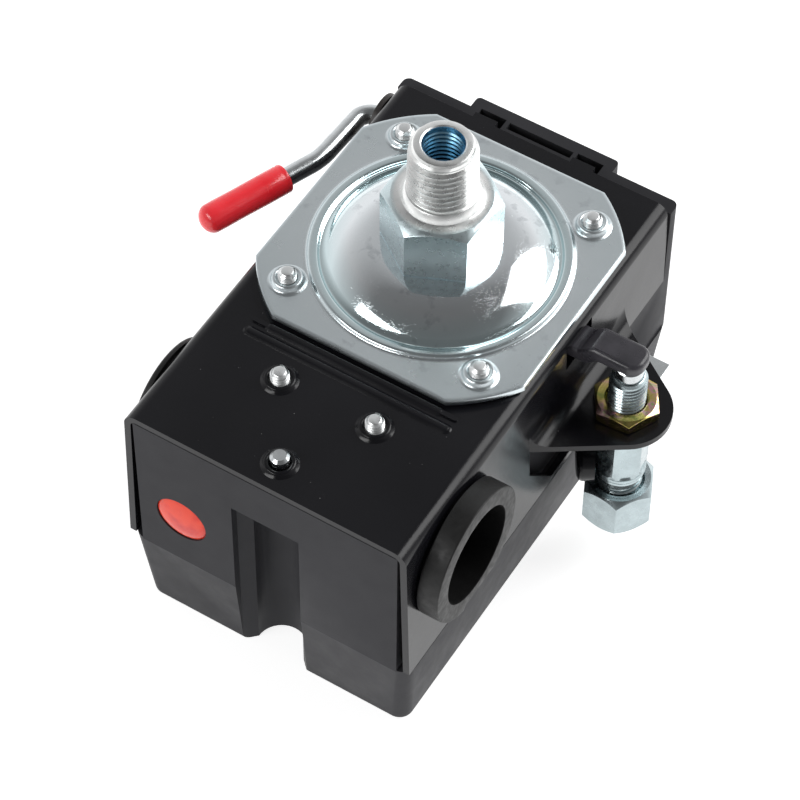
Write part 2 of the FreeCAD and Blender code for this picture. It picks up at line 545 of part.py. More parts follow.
def make_contacts():
    carrier = piece("contact_carrier")
    bar = sketch_on(carrier, "XY_Plane", "carrier_low")
    box_outline(bar, "-post_x - 5", "bridge_y - 2.6", "post_x + 5", "bridge_y + 2.6")
    pad(carrier, bar, "carrier_high - carrier_low")
    posts = sketch_on(carrier, "XY_Plane", "carrier_high - 0.5")
    caps = sketch_on(carrier, "XY_Plane", "post_cap")
    for x in ("-post_x", "post_x"):
        circle(posts, x, "bridge_y", "post_round")
        circle(caps, x, "bridge_y", "post_round + 0.9")
    pad(carrier, posts, "post_cap - carrier_high + 0.6")
    pad(carrier, caps, "post_top - post_cap")
    bridges = piece("contact_bridges")
    plates = sketch_on(bridges, "XY_Plane", "strip_low + strip_thick")
    bores = sketch_on(bridges, "XY_Plane", "strip_low")
    springs = piece("contact_springs")
    coils = sketch_on(springs, "XY_Plane", "strip_low + strip_thick + 1")
    for x, low, high in (("-post_x", "-strip_out - 1.8", "-strip_in + 1.8"),
                         ("post_x", "strip_in - 1.8", "strip_out + 1.8")):
        box_outline(plates, low, "bridge_y - bridge_half", high, "bridge_y + bridge_half")
        circle(bores, x, "bridge_y", "post_round + 0.05")
        circle(coils, x, "bridge_y", "post_round + 0.9")
        circle(coils, x, "bridge_y", "post_round + 0.15")
    pad(bridges, plates, "1")
    pocket(bridges, bores, "4", back=True)
    pad(springs, coils, "post_cap - strip_low - strip_thick - 1")


def make_rocker():
    bracket = piece("pivot_bracket")
    foot = sketch_on(bracket, "XY_Plane", "frame_top - 2 * sheet")
    box_outline(foot, "-bracket_half", "pivot_y - 5", "bracket_half", "pivot_y + 4.4")
    pad(bracket, foot, "sheet")
    cheeks = sketch_on(bracket, "XY_Plane", "pivot_high - 4.5")
    for side in ("-", ""):
        box_outline(cheeks, f"{side}bracket_half", "pivot_y - 4.4",
                    f"{side}(bracket_half - cheek)", "pivot_y + 4.4")
    pad(bracket, cheeks, "frame_top - 2 * sheet - pivot_high + 5")
    pocket(bracket, circle(sketch_on(bracket, "YZ_Plane"), "pivot_y", "pivot_high", "pin_round"),
           "3 * bracket_half", both=True)
    pin = piece("rocker_pin")
    pad(pin, circle(sketch_on(pin, "YZ_Plane"), "pivot_y", "pivot_high", "pin_round"),
        "2 * bracket_half + 3", both=True)

    rocker = piece("rocker")
    plate = sketch_on(rocker, "XY_Plane", "rocker_low")
    box_outline(plate, "-rocker_half", "rocker_front", "rocker_half", "rocker_rear")
    pad(rocker, plate, "rocker_high - rocker_low")
    for low, high, reach in (("diff_y - 6", "diff_y + 6", "diff_x + 5"), ("-arm_half", "arm_half", "16.2")):
        lobe = sketch_on(rocker, "XY_Plane", "rocker_low")
        box_outline(lobe, "rocker_half - 1", low, reach, high)
        pad(rocker, lobe, "rocker_high - rocker_low")
    ears = sketch_on(rocker, "XY_Plane", "pivot_high - 3.6")
    for side in ("-", ""):
        box_outline(ears, f"{side}rocker_half", "pivot_y - 3.6",
                    f"{side}(rocker_half - cheek)", "pivot_y + 3.6")
    pad(rocker, ears, "rocker_low - pivot_high + 4.1")
    pocket(rocker, circle(sketch_on(rocker, "YZ_Plane"), "pivot_y", "pivot_high", "pin_round + pin_gap"),
           "3 * rocker_half", both=True)
    holes = sketch_on(rocker, "XY_Plane", "rocker_low - 1")
    circle(holes, "0", "range_y", "range_stud + 1.8")
    circle(holes, "diff_x", "diff_y", "diff_stud + 1.4")
    pocket(rocker, holes, "5", back=True)

    arm = piece("unloader_arm")
    top = "arm_low + arm_thick"
    side = sketch_on(arm, "XZ_Plane")
    polygon(side, [("rocker_half + 0.4", "rocker_high"), ("16.2", "rocker_high"), ("16.2", "arm_low"),
                   ("arm_knee", "arm_low"), ("arm_knee + arm_rise", "arm_low + arm_rise"),
                   ("arm_tip", "arm_low + arm_rise"), ("arm_tip", f"{top} + arm_rise"),
                   ("arm_knee + 0.8", f"{top} + arm_rise"), ("arm_knee - 2.2", top), ("14.4", top),
                   ("14.4", "rocker_high + 1.6"), ("rocker_half + 0.4", "rocker_high + 1.6")])
    pad(arm, side, "2 * arm_half", both=True)
    round_edges(arm, "arm_half * 0.8", lambda e: along(e, Z) and near(e.CenterOfMass.x, size_of("arm_tip")))
    round_edges(arm, "1.1", lambda e: near(e.CenterOfMass.z, size_of(f"{top} + arm_rise"), 0.02)
                and e.CenterOfMass.x > size_of("arm_knee") + 1)

    piston = piece("diaphragm_piston")
    spin(piston, [("0", "rocker_high + 0.3"), ("piston_stem", "rocker_high + 0.3"), ("piston_stem", "60.8"),
                  ("piston_round", "60.8"), ("piston_round", "frame_top - 0.9"),
                  ("piston_round - 0.6", "frame_top - 0.3"), ("0", "frame_top - 0.3")])


def make_spring(label, x, y, low, high, round_, wire, turns):
    """A closed-end coil: one helix of round wire."""
    body = piece(label, at=(x, y, f"{low} + {wire} / 2"))
    section = circle(sketch_on(body, "XZ_Plane"), f"{round_} - {wire} / 2", "0", f"{wire} / 2")
    coil = body.newObject("PartDesign::AdditiveHelix", label + "_coil")
    coil.Profile = section
    coil.ReferenceAxis = (section, ["V_Axis"])
    coil.Mode = 1
    coil.setExpression("Height", bound(f"{high} - {low} - {wire}"))
    coil.setExpression("Pitch", bound(f"({high} - {low} - {wire}) / {turns}"))
    coil.Turns = turns
    doc.recompute()


def make_range_parts():
    for name, x, y, stud, low, flats, thick in (
            ("range", "0", "range_y", "range_stud", "range_low", "13", "5.5"),
            ("differential", "diff_x", "diff_y", "diff_stud", "diff_low", "7", "3.2")):
        post = piece(f"{name}_stud", at=(x, y, "0"))
        spin(post, [("0", f"{low} - {thick} - 3"), (stud, f"{low} - {thick} - 3"), (stud, "frame_top"),
                    ("0", "frame_top")])
        nut = piece(f"{name}_nut", at=(x, y, "0"))
        pad(nut, hexagon(sketch_on(nut, "XY_Plane", f"{low} - {thick}"), flats), thick)
        pocket(nut, circle(sketch_on(nut, "XY_Plane", "0"), "0", "0", stud), "60", back=True)
    seat = piece("range_spring_seat", at=("0", "range_y", "0"))
    spin(seat, [("range_stud + 1.2", "rocker_low - 1.6"), ("range_round + 0.8", "rocker_low - 1.6"),
                ("range_round + 0.8", "rocker_low"), ("range_stud + 1.2", "rocker_low")])
    make_spring("range_spring", "0", "range_y", "range_low", "(rocker_low - 1.6)", "range_round",
                "range_wire", 6)
    make_spring("differential_spring", "diff_x", "diff_y", "diff_low", "(rocker_low - 1.2)", "diff_round",
                "diff_wire", 7)


def make_valve():
    spot = ("valve_x", "0", "0")
    under = "(ear_top - ear_thick - tab_plate)"
    body = piece("valve_body", at=spot)
    flats = hexagon(sketch_on(body, "XY_Plane", "valve_low"), "valve_hex", "valve_turn")
    pad(body, flats, f"{under} - valve_low")
    spin(body, [("0", "neck_low"), ("thread_round + 0.9", "neck_low"), ("thread_round + 0.9", "collar_low"),
                ("thread_round + 1.3", "collar_low + 0.6"), ("thread_round + 1.3", "valve_low - 0.4"),
                ("thread_round + 0.8", "valve_low + 0.1"), ("0", "valve_low + 0.1")])
    spin(body, [("0", f"{under} - 0.5"), ("thread_round", f"{under} - 0.5"),
                ("thread_round", "thread_high - 0.5"), ("thread_round - 0.5", "thread_high"),
                ("0", "thread_high")])
    spin(body, [("0", "neck_low - 1"), ("2.2", "neck_low - 1"), ("2.2", "valve_seat"),
                ("1.7", "valve_seat"), ("1.7", "spring_low"), ("stem_round + 0.05", "spring_low"),
                ("stem_round + 0.05", "thread_high + 1"), ("0", "thread_high + 1")], cut=True)
    stem = piece("valve_stem", at=spot)
    spin(stem, [("0", "valve_seat + 0.2"), ("shaft_round", "valve_seat + 0.2"),
                ("shaft_round", "spring_low + 10"), ("stem_round", "spring_low + 10"),
                ("stem_round", "stem_high - 0.7"), ("stem_round - 0.7", "stem_high"), ("0", "stem_high")])
    make_spring("valve_spring", "valve_x", "0", "spring_low", "(spring_low + 10)", "(stem_round - 0.1)",
                "0.7", 6)
    tab = piece("valve_lock_tab", at=spot)
    blade = sketch_on(tab, "XY_Plane", under)
    box_outline(blade, "-6", "-5.4", "2", "15.4")
    pad(tab, blade, "tab_plate")
    disc = circle(sketch_on(tab, "XY_Plane", under), "0", "0", "6.4")
    pad(tab, disc, "tab_plate")
    pocket(tab, circle(sketch_on(tab, "XY_Plane", "0"), "0", "0", "thread_round + 0.1"), "60", back=True)
    lock = piece("valve_lock_nut", at=spot)
    flats = hexagon(sketch_on(lock, "XY_Plane", "ear_top"), "lock_flats", "lock_turn")
    pad(lock, flats, "lock_high - ear_top")
    rim = "lock_flats / 2 / cos(30 deg)"
    spin(lock, [("lock_flats / 2 - 0.1", "lock_high + 0.1"), (f"{rim} + 1", "lock_high + 0.1"),
                (f"{rim} + 1", "lock_high - 1")], cut=True)
    pocket(lock, circle(sketch_on(lock, "XY_Plane", "0"), "0", "0", "thread_round"), "80", back=True)
    nut = piece("compression_nut", at=spot)
    flats = hexagon(sketch_on(nut, "XY_Plane", "nut_low"), "nut_flats", "nut_turn")
    pad(nut, flats, "nut_high - nut_low")
    rim = "nut_flats / 2 / cos(30 deg)"
    spin(nut, [("nut_flats / 2 - 0.1", "nut_high + 0.1"), (f"{rim} + 1", "nut_high + 0.1"),
               (f"{rim} + 1", "nut_high - 1.2")], cut=True)
    spin(nut, [("nut_flats / 2 - 0.1", "nut_low - 0.1"), (f"{rim} + 1", "nut_low - 0.1"),
               (f"{rim} + 1", "nut_low + 1.2")], cut=True)
    spin(nut, [("0", "nut_low - 1"), ("tube_round", "nut_low - 1"), ("tube_round", "nut_low + 1.6"),
               ("thread_round + 0.9", "nut_low + 3"), ("thread_round + 0.9", "nut_high + 1"),
               ("0", "nut_high + 1")], cut=True)
    ring = piece("compression_ferrule", at=spot)
    spin(ring, [("tube_round", "nut_low + 2"), ("tube_round + 0.5", "nut_low + 2"),
                ("tube_round + 1.2", "nut_low + 3"), ("tube_round + 1.2", "neck_low - 0.1"),
                ("tube_round", "neck_low - 0.1")])
    cap = piece("bleed_port_cap", at=("valve_x", "0", "cap_high"))
    sideways = Rotation(Z, size_of("cap_turn")).multiply(Rotation(Y, 90))
    cap.Placement = Placement(cap.Placement.Base, sideways)
    spin(cap, [("0", "cap_near"), ("cap_round", "cap_near"), ("cap_round", "cap_reach - 1"),
               ("cap_round - 0.3", "cap_reach - 0.4"), ("cap_round - 1", "cap_reach"), ("0", "cap_reach")])


def make_lever():
    """Bent rod: out through the left side plate, forward along it, then splayed outward."""
    high = size_of("lever_high")
    stops = [Vector(size_of("rod_start"), size_of("lever_y"), high),
             Vector(size_of("crank_x"), size_of("lever_y"), high),
             Vector(size_of("knee_x"), size_of("knee_y"), high),
             Vector(size_of("tip_x"), size_of("tip_y"), high)]
    edges = []
    start = stops[0]
    radii = (size_of("crank_bend"), size_of("knee_bend"))
    for before, corner, after, radius in zip(stops, stops[1:], stops[2:], radii):
        a = (before - corner).normalize()
        b = (after - corner).normalize()
        reach = radius / math.tan(a.getAngle(b) / 2)
        middle = (a + b).normalize()
        bend_centre = corner + middle * (radius / math.sin(a.getAngle(b) / 2))
        into, out_of = corner + a * reach, corner + b * reach
        edges.append(Part.LineSegment(start, into).toShape())
        edges.append(Part.Arc(into, bend_centre - middle * radius, out_of).toShape())
        start = out_of
    edges.append(Part.LineSegment(start, stops[3]).toShape())
    path = doc.addObject("Part::Feature", "lever_path")
    path.Shape = Part.Wire(edges)
    ring = doc.addObject("Part::Circle", "lever_section")
    ring.setExpression("Radius", bound("rod_round"))
    ring.Placement = Placement(stops[0], Rotation(Vector(0, 0, 1), Vector(-1, 0, 0)))
    rod = doc.addObject("Part::Sweep", "onoff_lever")
    rod.Label = "onoff_lever"
    rod.Sections = [ring]
    rod.Spine = (path, [f"Edge{k + 1}" for k in range(len(edges))])
    rod.Solid = True
    rod.Frenet = False
    bodies.append(rod)
    doc.recompute()
    out = (stops[3] - stops[2]).normalize()
    grip = piece("lever_grip", at=("tip_x", "tip_y", "lever_high"))
    grip.Placement = Placement(grip.Placement.Base, Rotation(Z, out * -1))
    spin(grip, [("0", "-1.6"), ("grip_round - 1.8", "-1.6"), ("grip_round - 0.6", "-0.9"),
                ("grip_round", "0.6"), ("grip_round", "grip_long - 1.6"), ("rod_round", "grip_long - 1.6"),
                ("rod_round", "0"), ("0", "0")])
    bush = piece("lever_bushing", at=("0", "lever_y", "lever_high"), turn=((0, 1, 0), -90))
    wall = "ear_root + 0.45"
    spin(bush, [("rod_round + 0.06", "cover_inside - 1.6"), ("bush_round", "cover_inside - 1.6"),
                ("bush_round", wall), ("bush_round + 1.4", wall), ("bush_round + 1.4", f"{wall} + 1.2"),
                ("rod_round + 0.06", f"{wall} + 1.2")])
    clip = piece("lever_clip", at=("0", "lever_y", "lever_high"), turn=((0, 1, 0), -90))
    spin(clip, [("rod_round", "28.0"), ("rod_round + 1.9", "28.0"), ("rod_round + 1.9", "28.9"),
                ("rod_round", "28.9")])
    cam = piece("lever_cam", at=("0", "lever_y", "lever_high"), turn=((0, 1, 0), -90))
    spin(cam, [("rod_round", "cam_in"), ("cam_round", "cam_in"), ("cam_round", "cam_out"),
               ("rod_round", "cam_out")])
    finger = sketch_on(cam, "XY_Plane", "cam_in")
    box_outline(finger, "-1.8", "-cam_reach", "1.8", "-rod_round - 0.3")
    pad(cam, finger, "cam_out - cam_in")


make_frame()
make_cover()
make_cover_screw()
make_indicator()
make_flange()
make_port()
make_screws()
make_entries()
make_terminals()
make_contacts()
make_rocker()
make_range_parts()
make_valve()
make_lever()
doc.recompute()

for item in doc.Objects:
    if "Invalid" in item.State or "Error" in item.State:
        raise RuntimeError(f"{item.Label} failed: {item.State}")
for body in bodies:
    if body.Shape.isNull() or not body.Shape.isValid():
        raise RuntimeError(f"{body.Label} has no valid shape")

os.makedirs("parts", exist_ok=True)
for body in bodies:
    body.Shape.exportStep(f"parts/{body.Label}.step")
    print(f"{body.Label:22s} {len(body.Shape.Solids)} solids {body.Shape.Volume:9.1f} mm3")
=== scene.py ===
import json
import math

import bmesh
import bpy
from mathutils import Matrix, Vector

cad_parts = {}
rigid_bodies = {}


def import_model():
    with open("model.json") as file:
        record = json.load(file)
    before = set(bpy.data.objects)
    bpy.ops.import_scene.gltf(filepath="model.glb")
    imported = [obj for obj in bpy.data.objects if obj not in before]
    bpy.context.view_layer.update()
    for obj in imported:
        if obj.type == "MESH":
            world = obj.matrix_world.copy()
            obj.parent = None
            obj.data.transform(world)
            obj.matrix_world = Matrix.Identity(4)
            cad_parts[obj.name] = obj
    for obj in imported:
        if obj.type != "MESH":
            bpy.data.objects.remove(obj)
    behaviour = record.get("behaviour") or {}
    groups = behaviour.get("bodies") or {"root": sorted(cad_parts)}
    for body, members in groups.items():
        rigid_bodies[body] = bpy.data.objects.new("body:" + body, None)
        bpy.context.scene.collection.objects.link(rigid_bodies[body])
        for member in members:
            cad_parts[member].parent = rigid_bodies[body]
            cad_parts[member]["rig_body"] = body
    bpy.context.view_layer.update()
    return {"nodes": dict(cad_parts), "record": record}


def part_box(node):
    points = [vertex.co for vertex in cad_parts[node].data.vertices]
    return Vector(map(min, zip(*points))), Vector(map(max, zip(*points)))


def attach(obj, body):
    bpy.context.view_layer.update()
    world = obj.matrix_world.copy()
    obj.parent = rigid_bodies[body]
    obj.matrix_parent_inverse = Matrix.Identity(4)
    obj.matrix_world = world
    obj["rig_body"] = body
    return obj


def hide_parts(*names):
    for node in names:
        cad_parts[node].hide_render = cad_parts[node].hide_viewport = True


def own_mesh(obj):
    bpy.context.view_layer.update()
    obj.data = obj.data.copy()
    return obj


# Pressure switch of an air compressor, lying on its cover with the pressure port up.
# Lengths are in millimetres and become metres where a mesh is made.

MM = 0.001
ROUND = 2 * math.pi

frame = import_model()
nodes = frame["nodes"]


# ---------------------------------------------------------------- finishes

class Finish:
    """A node material under construction; its patterns use the piece's own coordinates."""

    def __init__(self, name, colour, metallic=0.0, roughness=0.5, **sockets):
        self.material = bpy.data.materials.new(name)
        self.material.use_nodes = True
        self.tree = self.material.node_tree
        self.shader = next(n for n in self.tree.nodes if n.type == "BSDF_PRINCIPLED")
        self.shader.inputs["Base Color"].default_value = (*colour, 1.0)
        self.shader.inputs["Metallic"].default_value = metallic
        self.shader.inputs["Roughness"].default_value = roughness
        for socket, value in sockets.items():
            self.shader.inputs[socket.replace("_", " ")].default_value = value
        coordinates = self.tree.nodes.new("ShaderNodeTexCoord")
        self.place = self.vector("MULTIPLY", coordinates.outputs["Object"], (1 / MM,) * 3)
        self.relief = None
        self.painted = None

    def link(self, source, target):
        self.tree.links.new(source, target)

    def vector(self, operation, first, second):
        """Vector arithmetic of a socket with a socket or a constant."""
        node = self.tree.nodes.new("ShaderNodeVectorMath")
        node.operation = operation
        self.link(first, node.inputs[0])
        if isinstance(second, tuple):
            node.inputs[1].default_value = second
        else:
            self.link(second, node.inputs[1])
        return node.outputs["Vector"]

    def sum_of(self, operation, first, second):
        """Arithmetic of a socket with a socket or a number."""
        node = self.tree.nodes.new("ShaderNodeMath")
        node.operation = operation
        self.link(first, node.inputs[0])
        if isinstance(second, (int, float)):
            node.inputs[1].default_value = second
        else:
            self.link(second, node.inputs[1])
        return node.outputs[0]

    def noise(self, grain, detail=3.0, rough=0.55, stretch=(1, 1, 1), turn=(0, 0, 0), twist=0.0):
        """Noise whose blobs are about `grain` mm across, times stretch along each axis."""
        mapping = self.tree.nodes.new("ShaderNodeMapping")
        mapping.inputs["Rotation"].default_value = [math.radians(a) for a in turn]
        mapping.inputs["Scale"].default_value = [1 / (grain * s) for s in stretch]
        self.link(self.place, mapping.inputs["Vector"])
        node = self.tree.nodes.new("ShaderNodeTexNoise")
        node.inputs["Scale"].default_value = 1.0
        node.inputs["Detail"].default_value = detail
        node.inputs["Roughness"].default_value = rough
        node.inputs["Distortion"].default_value = twist
        self.link(mapping.outputs[0], node.inputs["Vector"])
        return node.outputs["Fac"]

    def cells(self, grain, turn=(0, 0, 0)):
        """Distance to the nearest of scattered points, `grain` mm apart."""
        mapping = self.tree.nodes.new("ShaderNodeMapping")
        mapping.inputs["Rotation"].default_value = [math.radians(a) for a in turn]
        mapping.inputs["Scale"].default_value = [1 / grain] * 3
        self.link(self.place, mapping.inputs["Vector"])
        node = self.tree.nodes.new("ShaderNodeTexVoronoi")
        node.inputs["Scale"].default_value = 1.0
        self.link(mapping.outputs[0], node.inputs["Vector"])
        return node.outputs["Distance"]

    def span(self, source, low, high, bottom=0.0, top=1.0):
        """The source from low to high becomes bottom to top, clamped."""
        node = self.tree.nodes.new("ShaderNodeMapRange")
        self.link(source, node.inputs["Value"])
        for socket, value in zip(("From Min", "From Max", "To Min", "To Max"), (low, high, bottom, top)):
            node.inputs[socket].default_value = value
        return node.outputs["Result"]

    def from_axis(self):
        """Distance in mm from the Z axis."""
        flat = self.vector("MULTIPLY", self.place, (1.0, 1.0, 0.0))
        node = self.tree.nodes.new("ShaderNodeVectorMath")
        node.operation = "LENGTH"
        self.link(flat, node.inputs[0])
        return node.outputs["Value"]

    def tint(self, source, stops):
        """Base colour from a ramp: stops are (position, (r, g, b))."""
        ramp = self.tree.nodes.new("ShaderNodeValToRGB")
        elements = ramp.color_ramp.elements
        for k, (position, colour) in enumerate(stops):
            element = elements[k] if k < len(elements) else elements.new(position)
            element.position = position
            element.color = (*colour, 1.0)
        self.link(source, ramp.inputs["Fac"])
        return self.paint(ramp.outputs["Color"])

    def paint(self, socket):
        self.link(socket, self.shader.inputs["Base Color"])
        self.painted = socket
        return self

    def over(self, mask, colour):
        """Lays a colour over the one painted so far, where mask is 1."""
        mix = self.tree.nodes.new("ShaderNodeMix")
        mix.data_type = "RGBA"
        self.link(mask, mix.inputs["Factor"])
        self.link(self.painted, mix.inputs["A"])
        mix.inputs["B"].default_value = (*colour, 1.0)
        return self.paint(mix.outputs["Result"])

    def rough(self, source, low, high, bottom, top):
        """Roughness that follows a pattern."""
        self.link(self.span(source, low, high, bottom, top), self.shader.inputs["Roughness"])
        return self

    def bump(self, height, depth):
        """Relief `depth` mm deep where height goes from 0 to 1."""
        node = self.tree.nodes.new("ShaderNodeBump")
        node.inputs["Strength"].default_value = 1.0
        node.inputs["Distance"].default_value = depth * MM
        self.link(height, node.inputs["Height"])
        if self.relief:
            self.link(self.relief, node.inputs["Normal"])
        self.relief = node.outputs["Normal"]
        self.link(self.relief, self.shader.inputs["Normal"])
        return self


def black_paint():
    f = Finish("black_gloss_paint", (0.007, 0.007, 0.009), roughness=0.2, Specular_IOR_Level=0.28)
    f.tint(f.noise(30, 2), [(0.3, (0.005, 0.005, 0.0065)), (0.7, (0.008, 0.008, 0.010))])
    dust = f.span(f.cells(2.6, turn=(20, 35, 10)), 0.06, 0.03)
    f.over(f.sum_of("MULTIPLY", dust, f.span(f.noise(9, 1), 0.5, 0.62)), (0.12, 0.12, 0.12))
    f.rough(f.noise(14, 4), 0.3, 0.75, 0.15, 0.25)
    return f.bump(f.noise(1.6, 2), 0.012).bump(f.noise(0.35, 1), 0.002).material


def cover_plastic():
    f = Finish("cover_plastic", (0.035, 0.035, 0.038), roughness=0.45, Specular_IOR_Level=0.05)
    f.tint(f.noise(24, 3, stretch=(1, 1, 2)), [(0.3, (0.036, 0.036, 0.039)), (0.75, (0.044, 0.044, 0.048))])
    f.rough(f.noise(6, 5, 0.6), 0.3, 0.75, 0.34, 0.47)
    return f.bump(f.noise(0.28, 2), 0.006).bump(f.noise(5, 2), 0.01).material


def arm_plastic():
    f = Finish("arm_plastic", (0.02, 0.019, 0.023), roughness=0.3)
    f.tint(f.noise(5, 3), [(0.3, (0.026, 0.025, 0.030)), (0.7, (0.052, 0.049, 0.058))])
    f.rough(f.noise(3, 4), 0.3, 0.75, 0.24, 0.36)
    return f.bump(f.noise(0.3, 2), 0.004).bump(f.noise(3, 2), 0.03).material


def scratches(f, turn, width=0.12, length=9.0):
    """Fine straight marks in one direction, 0 to 1."""
    marks = f.noise(width, 1, 0.4, stretch=(length / width / 8, 1, 1), turn=turn)
    patches = f.noise(7, 2, turn=turn)
    return f.sum_of("MULTIPLY", f.span(marks, 0.66, 0.72), f.span(patches, 0.45, 0.6))


def zinc_sheet():
    """Plated sheet of the flange: satin corners, a polished drawn dome with plating colours."""
    f = Finish("zinc_plated_sheet", (0.6, 0.65, 0.69), metallic=1.0, roughness=0.2)
    f.tint(f.span(f.from_axis(), 10, 40), [
        (0.0, (0.84, 0.89, 0.92)), (0.3, (0.86, 0.90, 0.92)), (0.46, (0.70, 0.83, 0.85)),
        (0.53, (0.72, 0.85, 0.87)), (0.6, (0.72, 0.78, 0.80)), (1.0, (0.66, 0.73, 0.75))])
    stains = f.sum_of("MULTIPLY", f.span(f.noise(3.2, 4), 0.57, 0.66), f.span(f.noise(15, 1), 0.45, 0.6))
    f.over(f.sum_of("MULTIPLY", stains, 0.35), (0.36, 0.39, 0.42))
    wear = f.sum_of("ADD", f.sum_of("ADD", scratches(f, (0, 0, 25)), scratches(f, (0, 0, 112))),
                    scratches(f, (0, 0, 71), length=14))
    f.over(f.sum_of("MULTIPLY", wear, 0.4), (0.85, 0.88, 0.9))
    satin = f.span(f.from_axis(), 26.0, 28.5, 0.05, 0.27)
    f.link(f.sum_of("ADD", satin, f.span(f.noise(4, 4), 0.3, 0.8, 0.0, 0.05)), f.shader.inputs["Roughness"])
    return f.bump(wear, -0.004).bump(f.noise(2.2, 3), 0.006).bump(f.noise(0.2, 2), 0.0012).material


def turned_zinc(name, colour, roughness):
    """Machined and plated steel with fine turning marks round its own axis."""
    f = Finish(name, colour, metallic=1.0, roughness=roughness)
    dark = tuple(c * 0.82 for c in colour)
    f.tint(f.noise(3.5, 4), [(0.3, dark), (0.6, colour), (0.85, tuple(min(1, c * 1.1) for c in colour))])
    f.rough(f.noise(1.6, 4), 0.3, 0.8, roughness * 0.7, roughness * 1.5)
    lathe = f.noise(0.16, 2, stretch=(40, 40, 1))
    return f.bump(lathe, 0.004).bump(f.noise(1.2, 3), 0.004).material


def port_zinc():
    """The fitting: bright thread, and a hexagon that keeps the plating's blue-green tint."""
    f = Finish("port_zinc", (0.8, 0.83, 0.83), metallic=1.0, roughness=0.18)
    f.tint(f.noise(3.5, 4), [
        (0.3, (0.74, 0.76, 0.75)), (0.6, (0.86, 0.87, 0.86)), (0.85, (0.92, 0.92, 0.90))])
    flats = f.span(f.from_axis(), 9.6, 10.6)
    f.over(f.sum_of("MULTIPLY", flats, 0.85), (0.66, 0.79, 0.82))
    f.rough(f.noise(1.6, 4), 0.3, 0.8, 0.24, 0.38)
    lathe = f.noise(0.16, 2, stretch=(40, 40, 1))
    return f.bump(lathe, 0.005).bump(f.noise(1.2, 3), 0.008).material


def yellow_chromate():
    """Yellow-passivated zinc with the film's shifting colours."""
    f = Finish("yellow_chromate", (0.6, 0.55, 0.25), metallic=1.0, roughness=0.2)
    film = f.noise(3.0, 2, 0.4, twist=1.2)
    f.tint(film, [(0.25, (0.26, 0.28, 0.08)), (0.42, (0.52, 0.43, 0.13)), (0.52, (0.62, 0.45, 0.22)),
                  (0.6, (0.66, 0.36, 0.40)), (0.7, (0.38, 0.46, 0.20))])
    f.rough(f.noise(1.5, 4), 0.3, 0.8, 0.13, 0.28)
    return f.bump(f.noise(0.7, 3), 0.006).material


def blue_bore():
    f = Finish("blue_passivated_bore", (0.05, 0.17, 0.28), metallic=1.0, roughness=0.28)
    f.tint(f.noise(2.0, 3), [(0.3, (0.17, 0.36, 0.50)), (0.7, (0.34, 0.58, 0.72))])
    return f.bump(f.noise(0.25, 2, stretch=(30, 30, 1)), 0.01).material


def red_lens():
    f = Finish("red_lens", (0.8, 0.05, 0.02), roughness=0.12, Specular_IOR_Level=0.4,
               Subsurface_Weight=0.2, Subsurface_Scale=0.002)
    f.tint(f.noise(5, 2), [(0.35, (0.62, 0.018, 0.012)), (0.6, (0.82, 0.055, 0.02))])
    return f.bump(f.cells(1.1), 0.03).material


def red_vinyl():
    """Dip-moulded grip: glossy, slightly uneven."""
    f = Finish("red_vinyl", (0.78, 0.012, 0.02), roughness=0.2, Coat_Weight=0.3, Coat_Roughness=0.08,
               Subsurface_Weight=0.15, Subsurface_Scale=0.001)
    f.tint(f.noise(6, 3), [(0.3, (0.94, 0.022, 0.034)), (0.7, (1.0, 0.045, 0.06))])
    f.rough(f.noise(2.5, 3), 0.3, 0.75, 0.15, 0.28)
    return f.bump(f.noise(3.5, 2), 0.03).bump(f.noise(0.4, 2), 0.003).material


def black_rubber():
    f = Finish("black_rubber", (0.008, 0.008, 0.008), roughness=0.42, Specular_IOR_Level=0.36)
    f.tint(f.noise(5, 3), [(0.3, (0.005, 0.005, 0.005)), (0.7, (0.010, 0.010, 0.010))])
    f.rough(f.noise(1.4, 4), 0.3, 0.75, 0.4, 0.6)
    return f.bump(f.noise(0.3, 3), 0.01).bump(f.noise(4, 2), 0.02).material


def rubber_bore_painted_shade():
    """The bore of the grommet: the rubber painted darker than outside as painted shade, and without gloss.
    """
    f = Finish("rubber_bore_painted_shade", (0.004, 0.004, 0.004), roughness=0.8, Specular_IOR_Level=0.08)
    f.tint(f.noise(3, 3), [(0.3, (0.003, 0.003, 0.003)), (0.7, (0.006, 0.006, 0.006))])
    return f.bump(f.noise(0.5, 3), 0.02).material


def phenolic():
    """Dark moulding compound with a fine filler speckle."""
    f = Finish("phenolic_moulding", (0.028, 0.024, 0.022), roughness=0.45)
    f.tint(f.noise(0.5, 3), [
        (0.35, (0.02, 0.017, 0.016)), (0.6, (0.035, 0.03, 0.027)), (0.72, (0.09, 0.08, 0.07))])
    return f.bump(f.noise(0.4, 2), 0.008).material


def plain_metal(name, colour, roughness=0.3):
    """Stamped or drawn metal with a rolled grain."""
    f = Finish(name, colour, metallic=1.0, roughness=roughness)
    f.tint(f.noise(4, 3), [(0.3, tuple(c * 0.8 for c in colour)), (0.7, colour)])
    f.rough(f.noise(1.8, 4), 0.3, 0.8, roughness * 0.75, roughness * 1.35)
    return f.bump(f.noise(0.22, 2, stretch=(1, 12, 1)), 0.004).material


def lamp_glass():
    f = Finish("lamp_glass", (0.95, 0.6, 0.45), roughness=0.08, Transmission_Weight=0.85, IOR=1.46)
    f.tint(f.noise(3, 2), [(0.3, (0.9, 0.5, 0.35)), (0.7, (0.98, 0.72, 0.6))])
    return f.bump(f.noise(1.5, 1), 0.01).material


